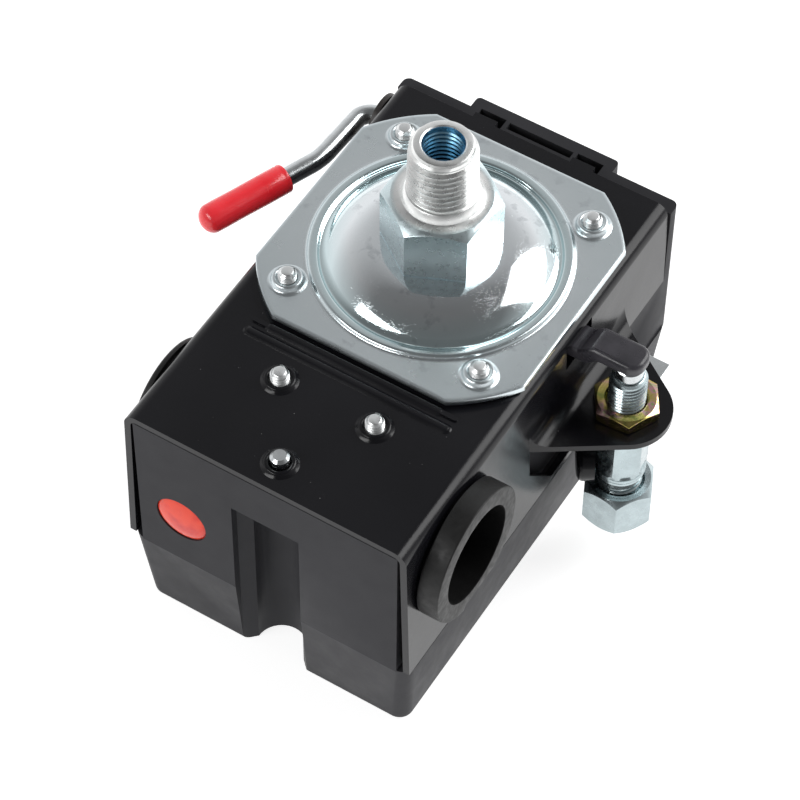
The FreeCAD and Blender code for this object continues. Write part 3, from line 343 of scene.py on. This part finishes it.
FINISHES = {
    "paint": black_paint(),
    "plastic": cover_plastic(),
    "arm": arm_plastic(),
    "sheet": zinc_sheet(),
    "bore": blue_bore(),
    "port": port_zinc(),
    "yellow": yellow_chromate(),
    "zinc": turned_zinc("bright_zinc", (0.72, 0.75, 0.76), 0.2),
    "lens": red_lens(),
    "screw": turned_zinc("frosted_zinc", (0.86, 0.88, 0.88), 0.34),
    "vinyl": red_vinyl(),
    "valve": turned_zinc("valve_zinc", (0.48, 0.56, 0.58), 0.24),
    "rubber": black_rubber(),
    "inside": rubber_bore_painted_shade(),
    "moulding": phenolic(),
    "steel": plain_metal("spring_steel", (0.40, 0.40, 0.42)),
    "brass": plain_metal("brass", (0.76, 0.58, 0.27), 0.25),
    "copper": plain_metal("copper", (0.78, 0.42, 0.28), 0.25),
    "lamp": lamp_glass(),
}
CAD_FINISH = {
    "frame_paint": "paint", "cover_plastic": "plastic", "zinc": "zinc", "bright_steel": "zinc",
    "yellow_zinc": "yellow", "spring_steel": "steel", "brass": "brass", "copper_strip": "copper",
    "red_lens": "lens", "red_vinyl": "vinyl", "black_rubber": "rubber", "moulding": "moulding",
    "lamp_glass": "lamp",
}


# ---------------------------------------------------------------- mesh tools

def corners(node):
    """Lowest and highest corner of a CAD node, in mm."""
    low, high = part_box(node)
    return low / MM, high / MM


def centre(node):
    """Middle of a CAD node's box, in mm."""
    low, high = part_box(node)
    return (low + high) / (2 * MM)


def arc(middle, radius, start, end, steps):
    """Points of a circle's arc in an outline, angles in degrees."""
    turns = [math.radians(start + (end - start) * k / steps) for k in range(steps + 1)]
    return [(middle[0] + radius * math.cos(t), middle[1] + radius * math.sin(t)) for t in turns]


def soften(points, radius, steps=3, closed=False):
    """An outline with its corners rounded; the radius shrinks where an edge is short."""
    count = len(points)
    out = []
    for k, point in enumerate(points):
        if not closed and k in (0, count - 1):
            out.append(point)
            continue
        here, before, after = (Vector(points[j]) for j in (k, k - 1, (k + 1) % count))
        back, onward = before - here, after - here
        a = here + back.normalized() * min(radius, 0.45 * back.length)
        b = here + onward.normalized() * min(radius, 0.45 * onward.length)
        for step in range(steps + 1):
            t = step / steps
            out.append(tuple((1 - t) ** 2 * a + 2 * t * (1 - t) * here + t ** 2 * b))
    return out


def polar(outline, steps=96, angles=None):
    """A body round the Z axis. outline is a list of (radius, height), or a function of the angle that
    gives one. An outline that starts and ends on the axis is closed by its poles, any other is a ring."""
    angles = angles or [ROUND * k / steps for k in range(steps)]
    at = outline if callable(outline) else (lambda angle: outline)
    bm = bmesh.new()
    poles = {}
    columns = []
    for angle in angles:
        column = []
        for k, (radius, height) in enumerate(at(angle)):
            if radius < 1e-6:
                if k not in poles:
                    poles[k] = bm.verts.new((0, 0, height))
                column.append(poles[k])
            else:
                column.append(bm.verts.new((radius * math.cos(angle), radius * math.sin(angle), height)))
        columns.append(column)
    rows = len(columns[0])
    for left, right in zip(columns, columns[1:] + columns[:1]):
        for k in range(rows if not poles else rows - 1):
            after = (k + 1) % rows
            loop = [left[k], right[k], right[after], left[after]]
            bm.faces.new([v for j, v in enumerate(loop) if v not in loop[:j]])
    return bm


def hex_angles(turn):
    """Angles that hit a hexagon's six corners, with twelve steps between two of them."""
    return [math.radians(turn + 60 * (k + step / 12)) for k in range(6) for step in range(12)]


def hex_radius(angle, flats, turn):
    """Distance from the axis to a hexagon's side, its corners at turn + 60 k degrees."""
    across = (math.degrees(angle) - turn) % 60 - 30
    return flats / 2 / math.cos(math.radians(across))


def joined(*parts):
    """Several meshes as one, each (bmesh, matrix) or bmesh."""
    whole = bmesh.new()
    for part in parts:
        source, place = part if isinstance(part, tuple) else (part, Matrix())
        source.transform(place)
        mesh = bpy.data.meshes.new("part")
        source.to_mesh(mesh)
        whole.from_mesh(mesh)
        bpy.data.meshes.remove(mesh)
        source.free()
    return whole


def thread(core, crest, pitch, low, high, taper=0.0, steps=48):
    """A screw thread's ridge on a core, from low to high, sinking into the core at both ends.
    A crest smaller than the core makes an inside thread."""
    bm = bmesh.new()
    count = int((high - low) / pitch * steps)
    outward = 1 if crest > core else -1
    fade = 0.6
    sunk = 0.08 * outward
    rings = []
    for k in range(count + 1):
        angle, height = ROUND * k / steps, low + pitch * k / steps
        turns_left = min(k, count - k) / steps
        share = min(1.0, turns_left / fade)
        root = core - taper * (height - low) - sunk
        peak = root + (crest - core + sunk) * share
        section = [(root, -0.46 * pitch), (peak, -0.07 * pitch), (peak, 0.07 * pitch), (root, 0.46 * pitch)]
        rings.append([bm.verts.new((r * math.cos(angle), r * math.sin(angle), height + z))
                      for r, z in section])
    for one, two in zip(rings, rings[1:]):
        for k in range(4):
            bm.faces.new([one[k], two[k], two[(k + 1) % 4], one[(k + 1) % 4]])
    bm.faces.new(rings[0])
    bm.faces.new(rings[-1])
    return bm


SLOTS = {part["node"]: part["material_slot"] for part in frame["record"]["subparts"]}


def add_piece(name, bm, stands_for, finish, place=Matrix(), sharp=32, rides=None, extra=()):
    """Puts a mesh drawn in mm into the scene, on the body of the CAD node that it stands for or rides."""
    bm.transform(Matrix.Scale(MM, 4) @ place)
    bmesh.ops.recalc_face_normals(bm, faces=bm.faces)
    mesh = bpy.data.meshes.new(name)
    bm.to_mesh(mesh)
    bm.free()
    for key in (finish, *extra):
        mesh.materials.append(FINISHES[key])
    piece = bpy.data.objects.new(name, mesh)
    bpy.context.scene.collection.objects.link(piece)
    mesh.shade_smooth()
    mesh.set_sharp_from_angle(angle=math.radians(sharp))
    carrier = rides or stands_for[0]
    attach(piece, nodes[carrier]["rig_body"])
    if stands_for:
        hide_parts(*stands_for)
    return piece


def worked_copy(node, radius, finish, name, segments=3, angle=28, fine=None):
    """A CAD node's own shape with its sharp edges rounded. fine is (radius, test of an edge's middle in mm)
    for the edges that get a smaller rounding."""
    bm = bmesh.new()
    bm.from_mesh(nodes[node].data)
    bmesh.ops.remove_doubles(bm, verts=bm.verts, dist=2e-6)
    bmesh.ops.dissolve_limit(bm, angle_limit=math.radians(0.6), verts=bm.verts, edges=bm.edges)
    bm.transform(Matrix.Scale(1 / MM, 4))
    weight = bm.edges.layers.float.new("bevel_weight_edge")
    for edge in bm.edges:
        if len(edge.link_faces) == 2 and edge.calc_face_angle(0) > math.radians(angle):
            middle = (edge.verts[0].co + edge.verts[1].co) / 2
            edge[weight] = fine[0] / radius if fine and fine[1](middle) else 1.0
    piece = add_piece(name, bm, [node], finish, sharp=angle)
    rounding = piece.modifiers.new("rounding", "BEVEL")
    rounding.width = radius * MM
    rounding.segments = segments
    rounding.limit_method = "WEIGHT"
    rounding.harden_normals = True
    rounding.use_clamp_overlap = True


# ---------------------------------------------------------------- pieces

# Taken over from the CAD model: heights of the sheets' upper faces, places of the screws, where the
# collars of the grommet and the plug begin and the radius of their necks, and the valve's axis.
PLATE_TOP = 64.5
FLANGE_TOP = 66.6
FLANGE_SCREWS = [(x, y) for x in (-22.75, 22.75) for y in (-22.75, 22.75)]
BLOCK_SCREWS = [(x, centre("block_screws").y) for x in (-11.2, 11.2)]
COLLAR_START = 33.95
NECK_ROUND = 12.4
VALVE_X = 45.0
# Y of each pressed rib, and half its straight length.
RIBS = ((-36.4, 23.2), (-33.4, 19.8))
PORT_PITCH = 1.41


def make_port():
    """Hexagon, collar and tapered male thread, with a bored passage."""
    low, high = corners("port_fitting")
    flats, turn = 22.0, 24.5
    inscribed = flats / 2
    hex_low, hex_high = 71.7, high.z - 15.7
    core, crest = 6.7, 7.4
    bore = 4.3

    def outline(angle):
        edge = hex_radius(angle, flats, turn)
        drop = (edge - (inscribed - 0.35)) * math.tan(math.radians(32))
        base = [(8.2, low.z), (8.2, hex_low - 0.6), (inscribed - 0.6, hex_low - 0.1)]
        sides = [(edge - 0.5, hex_low - 0.05), (edge, hex_low + 0.3), (edge, hex_high - drop - 0.12)]
        shoulder = [(edge - 0.12, hex_high - drop), (inscribed - 0.5, hex_high),
                    (inscribed - 0.9, hex_high + 0.05), (core + 2.3, hex_high + 0.1)]
        neck = [(core + 1.75, hex_high + 0.35), (core + 1.5, hex_high + 0.9), (core + 1.2, hex_high + 1.7),
                (core + 0.8, hex_high + 2.2), (core, hex_high + 2.6)]
        tip = [(core - 0.25, high.z - 1.3), (core - 0.35, high.z - 0.55), (core - 0.62, high.z - 0.12),
               (core - 0.9, high.z)]
        passage = [(4.75, high.z), (4.45, high.z - 0.2), (bore, high.z - 0.6), (bore, low.z)]
        return base + sides + shoulder + neck + tip + passage

    body = polar(outline, angles=hex_angles(turn))
    for face in body.faces:
        middle = face.calc_center_median()
        if middle.xy.length < bore + 0.3 and middle.z < high.z - 0.3:
            face.material_index = 1
    ridge = thread(core, crest, PORT_PITCH, hex_high + 2.0, high.z - 0.9, taper=0.02, steps=72)
    inner = thread(bore + 0.04, bore - 0.25, 1.2, high.z - 12, high.z - 1.2)
    for face in inner.faces:
        face.material_index = 1
    whole = joined(body, ridge, inner)
    add_piece("port_fitting_threaded", whole, ["port_fitting"], "port", sharp=24, extra=("bore",))


def make_flange():
    """Plate with arced corners, a bead, a groove and a drawn dome."""
    low, high = corners("flange_plate")
    half, corner = high.x, 38.0
    bottom, top, seat = low.z, FLANGE_TOP, high.z
    even = {ROUND * k / 288 for k in range(288)}
    bent = math.degrees(math.acos(half / corner))
    corner_ends = {math.radians((90 * k + side * bent) % 360) for k in range(4) for side in (1, -1)}
    angles = sorted(even | corner_ends)
    flat_round, dome_round, bend = 12.5, 15.45, math.radians(45.4)
    dome = [(24.5, top + 0.06), (24.2, top + 0.13), (23.9, top + 0.3)]
    for k in range(21):
        lean = bend * (1 - k / 20)
        dome.append((flat_round + dome_round * math.sin(lean), seat - dome_round * (1 - math.cos(lean))))
    bead = soften([(28.6, top), (27.7, top), (27.2, top + 0.85), (25.4, top + 0.8), (24.95, top + 0.05),
                   (24.55, top + 0.05), dome[0]], 0.5, 4)
    inside = [(8.9, seat), (8.9, seat - 1.6), (13.0, seat - 1.9), (18.7, seat - 3.0), (21.9, bottom + 0.8),
              (22.8, bottom)]

    def outline(angle):
        edge = min(half / max(abs(math.cos(angle)), abs(math.sin(angle))), corner)
        rim = [(edge - 0.3, bottom), (edge, bottom + 0.3), (edge, top - 0.42), (edge - 0.12, top - 0.12),
               (edge - 0.42, top), (edge - 0.9, top)]
        return rim + bead + dome[1:] + inside

    parts = [polar(outline, angles=angles)]
    for x, y in FLANGE_SCREWS:
        collar = polar([(1.95, top - 0.2), (4.3, top - 0.2), (4.2, top + 0.02), (3.75, top + 0.15),
                        (3.42, top + 0.5), (3.3, top + 1.1), (3.05, top + 1.42), (2.75, top + 1.5),
                        (2.4, top + 1.4), (1.95, top + 1.0)], 48)
        parts.append((collar, Matrix.Translation((x, y, 0))))
    add_piece("flange_plate_drawn", joined(*parts), ["flange_plate"], "sheet", sharp=40)


def screw_tip(low, high):
    """The end of an M4 screw: chamfered core with its thread."""
    radius, pitch = 2.0, 0.7
    core = radius - 0.3
    outline = [(0, low), (core, low), (core, high - 0.55), (core - 0.45, high), (0, high)]
    body = polar(soften(outline, 0.15, 2), 40)
    return joined(body, thread(core, radius, pitch, low + 0.2, high - 0.35, steps=36))


def make_screws(node, spots, head_round):
    """A set of equal machine screws, heads hidden under the sheet."""
    low, high = corners(node)
    head_high = low.z + 2.4
    outline = soften([(0, low.z), (head_round, low.z), (head_round, head_high), (0, head_high)], 0.5, 3)
    parts = []
    for x, y in spots:
        place = Matrix.Translation((x, y, 0))
        parts += [(polar(outline, 40), place), (screw_tip(low.z + 1.5, high.z), place)]
    add_piece(node + "_threaded", joined(*parts), [node], "screw", sharp=30)


def make_frame():
    """The bent sheet with its edges rounded, a raised collar round each screw, and two pressed ribs."""
    worked_copy("base_frame", 0.35, "paint", "base_frame_painted")
    top = PLATE_TOP
    parts = []
    for x, y in (*BLOCK_SCREWS, (0.0, centre("cover_screw").y)):
        collar = polar([(2.1, top - 0.3), (4.2, top - 0.3), (3.95, top + 0.05), (3.5, top + 0.25),
                        (3.3, top + 0.7), (3.05, top + 0.9), (2.6, top + 0.9), (2.3, top + 0.65),
                        (2.1, top + 0.4)], 48)
        parts.append((collar, Matrix.Translation((x, y, 0))))
    for y, half_length in RIBS:
        parts.append(rib(half_length, y, top - 0.05))
    add_piece("frame_collars", joined(*parts), [], "paint", rides="base_frame", sharp=50)


def make_cover():
    """The moulded cover: soft edges near the face it lies on, crisp ones above."""
    worked_copy("cover", 0.8, "plastic", "cover_moulded", segments=4,
                fine=(0.12, lambda spot: spot.z > 12))


RIB_PROFILE = soften([(1.38, 0.0), (1.3, 0.06), (0.62, 0.55), (0.1, 0.6)], 0.16, 3)


def rib(half_length, y, level):
    """A pressed rib with sloping sides and rounded ends, running along X."""
    bm = bmesh.new()
    each = 16
    loops = []
    for out, up in RIB_PROFILE:
        line = []
        for end, start in ((half_length, -90), (-half_length, 90)):
            for j in range(each + 1):
                turn = math.radians(start + 180 * j / each)
                line.append((end + out * math.cos(turn), y + out * math.sin(turn)))
        loops.append([bm.verts.new((px, py, level + up)) for px, py in line])
    for one, two in zip(loops, loops[1:]):
        for k in range(len(one)):
            after = (k + 1) % len(one)
            bm.faces.new([one[k], one[after], two[after], two[k]])
    bm.faces.new(loops[-1])
    bm.faces.new(list(reversed(loops[0])))
    return bm


def turned_to(axis, origin):
    """Places a polar body's Z axis along another one, at an origin."""
    turn = Vector((0, 0, 1)).rotation_difference(Vector(axis))
    return Matrix.Translation(origin) @ turn.to_matrix().to_4x4()


def make_valve_body(place):
    """Hexagon bar with a threaded stud above, collar rings and a threaded neck below."""
    low, high = corners("valve_body")
    flats, turn = 10.0, 40.6
    hex_low, hex_high = 27.5, 43.3
    neck, stud, passage = 4.6, 3.7, 1.7
    neck_high = 22.6

    def outline(angle):
        edge = hex_radius(angle, flats, turn)
        drop = max(0.0, edge - 5.25) * 0.55
        lower = [(passage, low.z), (4.3, low.z), (neck, low.z + 0.5), (neck, neck_high), (4.9, 23.0),
                 (4.9, 23.4)]
        rings = [(4.55, 23.7), (4.95, 24.3), (5.2, 24.7), (5.05, 25.1), (5.3, 25.5), (5.45, 25.9),
                 (5.3, 26.4), (5.45, 26.9)]
        bar = [(min(edge, 5.5), hex_low - 0.1), (edge, hex_low + 0.2 + drop), (edge, hex_high - 0.3),
               (edge - 0.3, hex_high)]
        upper = [(stud, hex_high), (stud, high.z - 0.7), (3.35, high.z - 0.1), (3.15, high.z),
                 (3.05, high.z - 0.1), (passage, high.z - 4)]
        return lower + rings + bar + upper

    whole = joined(polar(outline, angles=hex_angles(turn)),
                   thread(stud, 4.0, 1.0, hex_high + 0.4, high.z - 0.7),
                   thread(neck, 4.9, 1.0, low.z + 0.4, neck_high))
    add_piece("valve_body_threaded", whole, ["valve_body"], "valve", place, sharp=28)


def make_valve():
    """Unloader valve: its body, two nuts, the ferrule and the lock tab."""
    place = Matrix.Translation((VALVE_X, 0, 0))
    make_valve_body(place)
    lock_nut = hex_nut("valve_lock_nut", flats=13.0, turn=3.0, bore=4.05, chamfer=0.5)
    add_piece("valve_lock_nut_chamfered", lock_nut, ["valve_lock_nut"], "yellow", place, sharp=22)
    nut = hex_nut("compression_nut", flats=14.3, turn=-4.4, bore=4.95, chamfer=1.0)
    add_piece("compression_nut_chamfered", nut, ["compression_nut"], "valve", place, sharp=22)
    low, high = corners("compression_ferrule")
    section = [(3.2, low.z), (4.3, low.z + 0.3), (4.3, high.z - 0.3), (3.2, high.z)]
    ring = polar(soften(section, 0.2, 2, closed=True), 48)
    add_piece("compression_ferrule_rounded", ring, ["compression_ferrule"], "brass", place, sharp=30)
    worked_copy("valve_lock_tab", 0.12, "zinc", "valve_lock_tab_stamped")


def hex_nut(node, flats, turn, bore, chamfer):
    """A hexagon nut as high as its CAD node, chamfered at both ends, with a bevelled bore."""
    box_low, box_high = corners(node)
    low, high = box_low.z, box_high.z
    inset = flats / 2 - 0.35
    lead = 0.25

    def outline(angle):
        edge = hex_radius(angle, flats, turn)
        drop = (edge - inset) * math.tan(math.radians(30)) * chamfer / 0.6
        return [(bore, low + lead), (bore + lead, low), (inset, low), (edge - 0.06, low + drop - 0.03),
                (edge, low + drop + 0.08), (edge, high - drop - 0.08), (edge - 0.06, high - drop + 0.03),
                (inset, high), (bore + 0.6, high), (bore, high - 0.6)]

    return polar(outline, angles=hex_angles(turn))


def sideways(node, side):
    """Places a polar body's Z axis along +X or -X, on the middle of an entry's node."""
    middle = centre(node)
    return Matrix(((0, 0, side, 0), (1, 0, 0, middle.y), (0, 1, 0, middle.z), (0, 0, 0, 1)))


def make_grommet():
    """Right cable grommet: a rounded collar with a flat and a step below."""
    low, high = corners("cable_grommet")
    full, bore = (high.y - low.y) / 2, 10.9
    flat, step = full - 1.75, -4.5

    def outline(angle):
        edge = full
        across, down = full * math.cos(angle), math.sin(angle)
        if down < 0 and across > step:
            edge = min(full, flat / abs(down))
        section = [(bore, low.x), (NECK_ROUND, low.x), (NECK_ROUND, COLLAR_START),
                   (edge, COLLAR_START), (edge, high.x), (bore, high.x)]
        return soften(section, 0.32, 4, closed=True)

    body = polar(outline, 144)
    # The bore's faces take the darker rubber, which is painted shade.
    for face in body.faces:
        if face.calc_center_median().xy.length < bore + 0.2:
            face.material_index = 1
    place = sideways("cable_grommet", 1)
    add_piece("cable_grommet_lipped", body, ["cable_grommet"], "rubber", place, sharp=40, extra=("inside",))


def make_plug():
    """Left blanking plug with a dished face."""
    low, high = corners("blanking_plug")
    full = (high.y - low.y) / 2
    face, inside = -low.x, -high.x
    lip = 0.9
    cap = [(0, face - 1.6), (7.0, face - 1.6), (8.2, face - 1.2), (9.0, face - 0.2)]
    cap += arc((full - lip, face - lip), lip, 90, 0, 5)
    cap += [(full, COLLAR_START), (NECK_ROUND, COLLAR_START), (NECK_ROUND, inside), (10.6, inside),
            (10.4, COLLAR_START - 1.0), (0, COLLAR_START - 1.0)]
    place = sideways("blanking_plug", -1)
    add_piece("blanking_plug_dished", polar(cap, 96), ["blanking_plug"], "rubber", place, sharp=40)


def make_lens():
    """Indicator lens: a slightly domed face with a fine rim."""
    low, high = corners("indicator_lens")
    middle = centre("indicator_lens")
    radius = (high.x - low.x) / 2
    face, back = -low.y, -high.y
    outline = []
    for k in range(13):
        lean = math.radians(64 * k / 12)
        outline.append((radius * math.sin(lean), face - 0.9 * (1 - math.cos(lean))))
    outline += [(radius - 0.25, face - 0.62), (radius, face - 0.8), (radius, back), (radius - 1.2, back),
                (radius - 1.2, face - 1.9), (0, face - 1.5)]
    place = turned_to((0, -1, 0), (middle.x, 0, middle.z))
    add_piece("indicator_lens_domed", polar(outline, 72), ["indicator_lens"], "lens", place, sharp=36)


# Where the lever's straight outer part ends and begins, seen from above.
LEVER_TIP = (-50.3, -11.4)
LEVER_KNEE = (-39.4, 15.5)


def make_lever_grip():
    """Red sleeve with a rounded end and a folded lip."""
    low, high = corners("lever_grip")
    level = centre("lever_grip").z
    tip, knee = Vector((*LEVER_TIP, level)), Vector((*LEVER_KNEE, level))
    radius = (high.z - low.z) / 2
    length, end, rod = 19.9, -1.6, 2.25
    blunt = radius * 0.82
    outline = [(0, end)]
    for k in range(1, 11):
        lean = math.radians(8 * k)
        outline.append((radius * math.sin(lean), blunt + end - blunt * math.cos(lean)))
    outline += [(radius, 2.6), (radius * 0.985, 8), (radius, 14), (radius, length - 1.3),
                (radius * 0.97, length - 0.9), (radius, length - 0.5), (radius - 0.15, length - 0.1),
                (radius - 0.5, length), (rod + 0.25, length - 0.1), (rod, length - 0.5), (rod, 0.3),
                (0, 0.3)]
    place = turned_to(knee - tip, tip)
    add_piece("lever_grip_dipped", polar(outline, 48), ["lever_grip"], "vinyl", place, sharp=50)


def make_arm():
    """Unloader arm and the cap beside the valve, both with soft edges."""
    worked_copy("unloader_arm", 0.8, "arm", "unloader_arm_moulded", segments=4, angle=25)
    worked_copy("bleed_port_cap", 1.2, "paint", "bleed_port_cap_rounded", segments=5, angle=30)


def coil(radius, wire, low, high, turns):
    """A spring of round wire with its ends closed; radius is the outer one, wire the diameter."""
    bm = bmesh.new()
    steps, around = 40, 12
    winding = radius - wire / 2
    count = turns * steps
    rings = []
    for k in range(count + 1):
        turn = ROUND * k / steps
        height = low + wire / 2 + (high - low - wire) * k / count
        ring = []
        for j in range(around):
            lean = ROUND * j / around
            out = winding + wire / 2 * math.cos(lean)
            ring.append(bm.verts.new((out * math.cos(turn), out * math.sin(turn),
                                      height + wire / 2 * math.sin(lean))))
        rings.append(ring)
    for one, two in zip(rings, rings[1:]):
        for j in range(around):
            after = (j + 1) % around
            bm.faces.new([one[j], two[j], two[after], one[after]])
    bm.faces.new(rings[0])
    bm.faces.new(rings[-1])
    return bm


# Wire diameter, number of turns, the joint that presses the spring, and the share of its length it keeps.
SPRINGS = {
    "range_spring": (1.9, 6, "rocker_tilt", 0.86),
    "differential_spring": (1.1, 7, "rocker_tilt", 0.85),
    "valve_spring": (0.7, 6, "stem_travel", 0.87),
}


def make_springs():
    """Coils of round wire in place of the CAD springs, each with a mesh of its own."""
    for node, (wire, turns, joint, keep) in SPRINGS.items():
        low, high = corners(node)
        middle = centre(node)
        bm = coil((high.x - low.x) / 2, wire, low.z, high.z, turns)
        place = Matrix.Translation((middle.x, middle.y, 0))
        piece = add_piece(node + "_coiled", bm, [node], "steel", place, sharp=60)
        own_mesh(piece)


def dress_cad_nodes():
    """Carried-over CAD nodes get this scene's finishes."""
    for name, node in nodes.items():
        finish = FINISHES[CAD_FINISH[SLOTS[name]]]
        for k in range(len(node.data.materials)):
            node.data.materials[k] = finish


# ---------------------------------------------------------------- stage

# The studio is dark above and in front: (cosine to the dark direction, brightness) steps of the sky.
DARK_SIDE = (0.203, -0.355, 0.913)
SKY = ((0.0, 0.88), (0.3, 0.57), (0.48, 0.43), (0.75, 0.17), (0.95, 0.14))
# Half the floor's width in metres, and the light that it gives off so that it stays pale.
FLOOR_REACH, FLOOR_GLOW = 3.0, 0.79
# Name, place, width and height in metres, power in watts; all point at LIGHT_AIM.
LIGHTS = (("right", (0.50, 0.61, 0.66), 0.68, 0.74, 7.2),
          ("front", (-0.35, -0.74, 0.60), 0.70, 0.24, 3.2))
LIGHT_AIM = (0, 0, 0.05)


def make_stage():
    """The sky, a pale floor and two soft lights."""
    world = bpy.data.worlds.new("studio")
    bpy.context.scene.world = world
    world.use_nodes = True
    tree = world.node_tree
    background = next(n for n in tree.nodes if n.type == "BACKGROUND")
    direction = tree.nodes.new("ShaderNodeTexCoord")
    towards = tree.nodes.new("ShaderNodeVectorMath")
    towards.operation = "DOT_PRODUCT"
    towards.inputs[1].default_value = DARK_SIDE
    ramp = tree.nodes.new("ShaderNodeValToRGB")
    tree.links.new(direction.outputs["Generated"], towards.inputs[0])
    tree.links.new(towards.outputs["Value"], ramp.inputs["Fac"])
    tree.links.new(ramp.outputs["Color"], background.inputs["Color"])
    elements = ramp.color_ramp.elements
    for k, (position, level) in enumerate(SKY):
        element = elements[k] if k < len(elements) else elements.new(position)
        element.position = position
        element.color = (level, level, level * 1.01, 1.0)
    background.inputs["Strength"].default_value = 1.0

    bm = bmesh.new()
    bmesh.ops.create_grid(bm, x_segments=8, y_segments=8, size=FLOOR_REACH)
    mesh = bpy.data.meshes.new("floor")
    bm.to_mesh(mesh)
    bm.free()
    floor = bpy.data.objects.new("floor", mesh)
    bpy.context.scene.collection.objects.link(floor)
    paper = bpy.data.materials.new("paper")
    paper.use_nodes = True
    shader = next(n for n in paper.node_tree.nodes if n.type == "BSDF_PRINCIPLED")
    shader.inputs["Base Color"].default_value = (0.6, 0.6, 0.6, 1)
    shader.inputs["Roughness"].default_value = 0.9
    shader.inputs["Emission Color"].default_value = (1, 1, 1, 1)
    shader.inputs["Emission Strength"].default_value = FLOOR_GLOW
    mesh.materials.append(paper)

    for name, spot, wide, high, power in LIGHTS:
        light = bpy.data.objects.new(name, bpy.data.lights.new(name, "AREA"))
        light.data.shape = "RECTANGLE"
        light.data.size, light.data.size_y = wide, high
        light.data.energy = power
        light.location = spot
        light.rotation_euler = (Vector(LIGHT_AIM) - Vector(spot)).to_track_quat("-Z", "Y").to_euler()
        bpy.context.scene.collection.objects.link(light)


# The point looked at, in mm; the angles round and above it, and the roll, in degrees; the distance in mm.
CAMERA_AIM = (1.58, -18.15, 37.87)
CAMERA_AZIMUTH, CAMERA_ELEVATION, CAMERA_ROLL = 31.225, 53.408, -0.628
CAMERA_AWAY = 721.1
CAMERA_LENS = 155.3


def make_camera():
    """The camera that matches the photo's."""
    a, e, r = (math.radians(v) for v in (CAMERA_AZIMUTH, CAMERA_ELEVATION, CAMERA_ROLL))
    back = Vector((math.sin(a) * math.cos(e), -math.cos(a) * math.cos(e), math.sin(e)))
    level = Vector((math.cos(a), math.sin(a), 0))
    up = back.cross(level)
    right = level * math.cos(r) - up * math.sin(r)
    up = level * math.sin(r) + up * math.cos(r)
    camera = bpy.data.objects.new("camera", bpy.data.cameras.new("camera"))
    camera.data.lens = CAMERA_LENS
    camera.data.clip_start, camera.data.clip_end = 0.05, 10.0
    turned = Matrix((right, up, back)).transposed().to_4x4()
    camera.matrix_world = Matrix.Translation((Vector(CAMERA_AIM) + back * CAMERA_AWAY) * MM) @ turned
    bpy.context.scene.collection.objects.link(camera)
    bpy.context.scene.camera = camera
    bpy.context.scene.view_settings.view_transform = "Standard"


dress_cad_nodes()
make_frame()
make_cover()
make_port()
make_flange()
make_screws("flange_screws", FLANGE_SCREWS, head_round=3.4)
make_screws("block_screws", BLOCK_SCREWS, head_round=3.0)
make_valve()
make_grommet()
make_plug()
make_lens()
make_lever_grip()
make_arm()
make_springs()
make_stage()
make_camera()
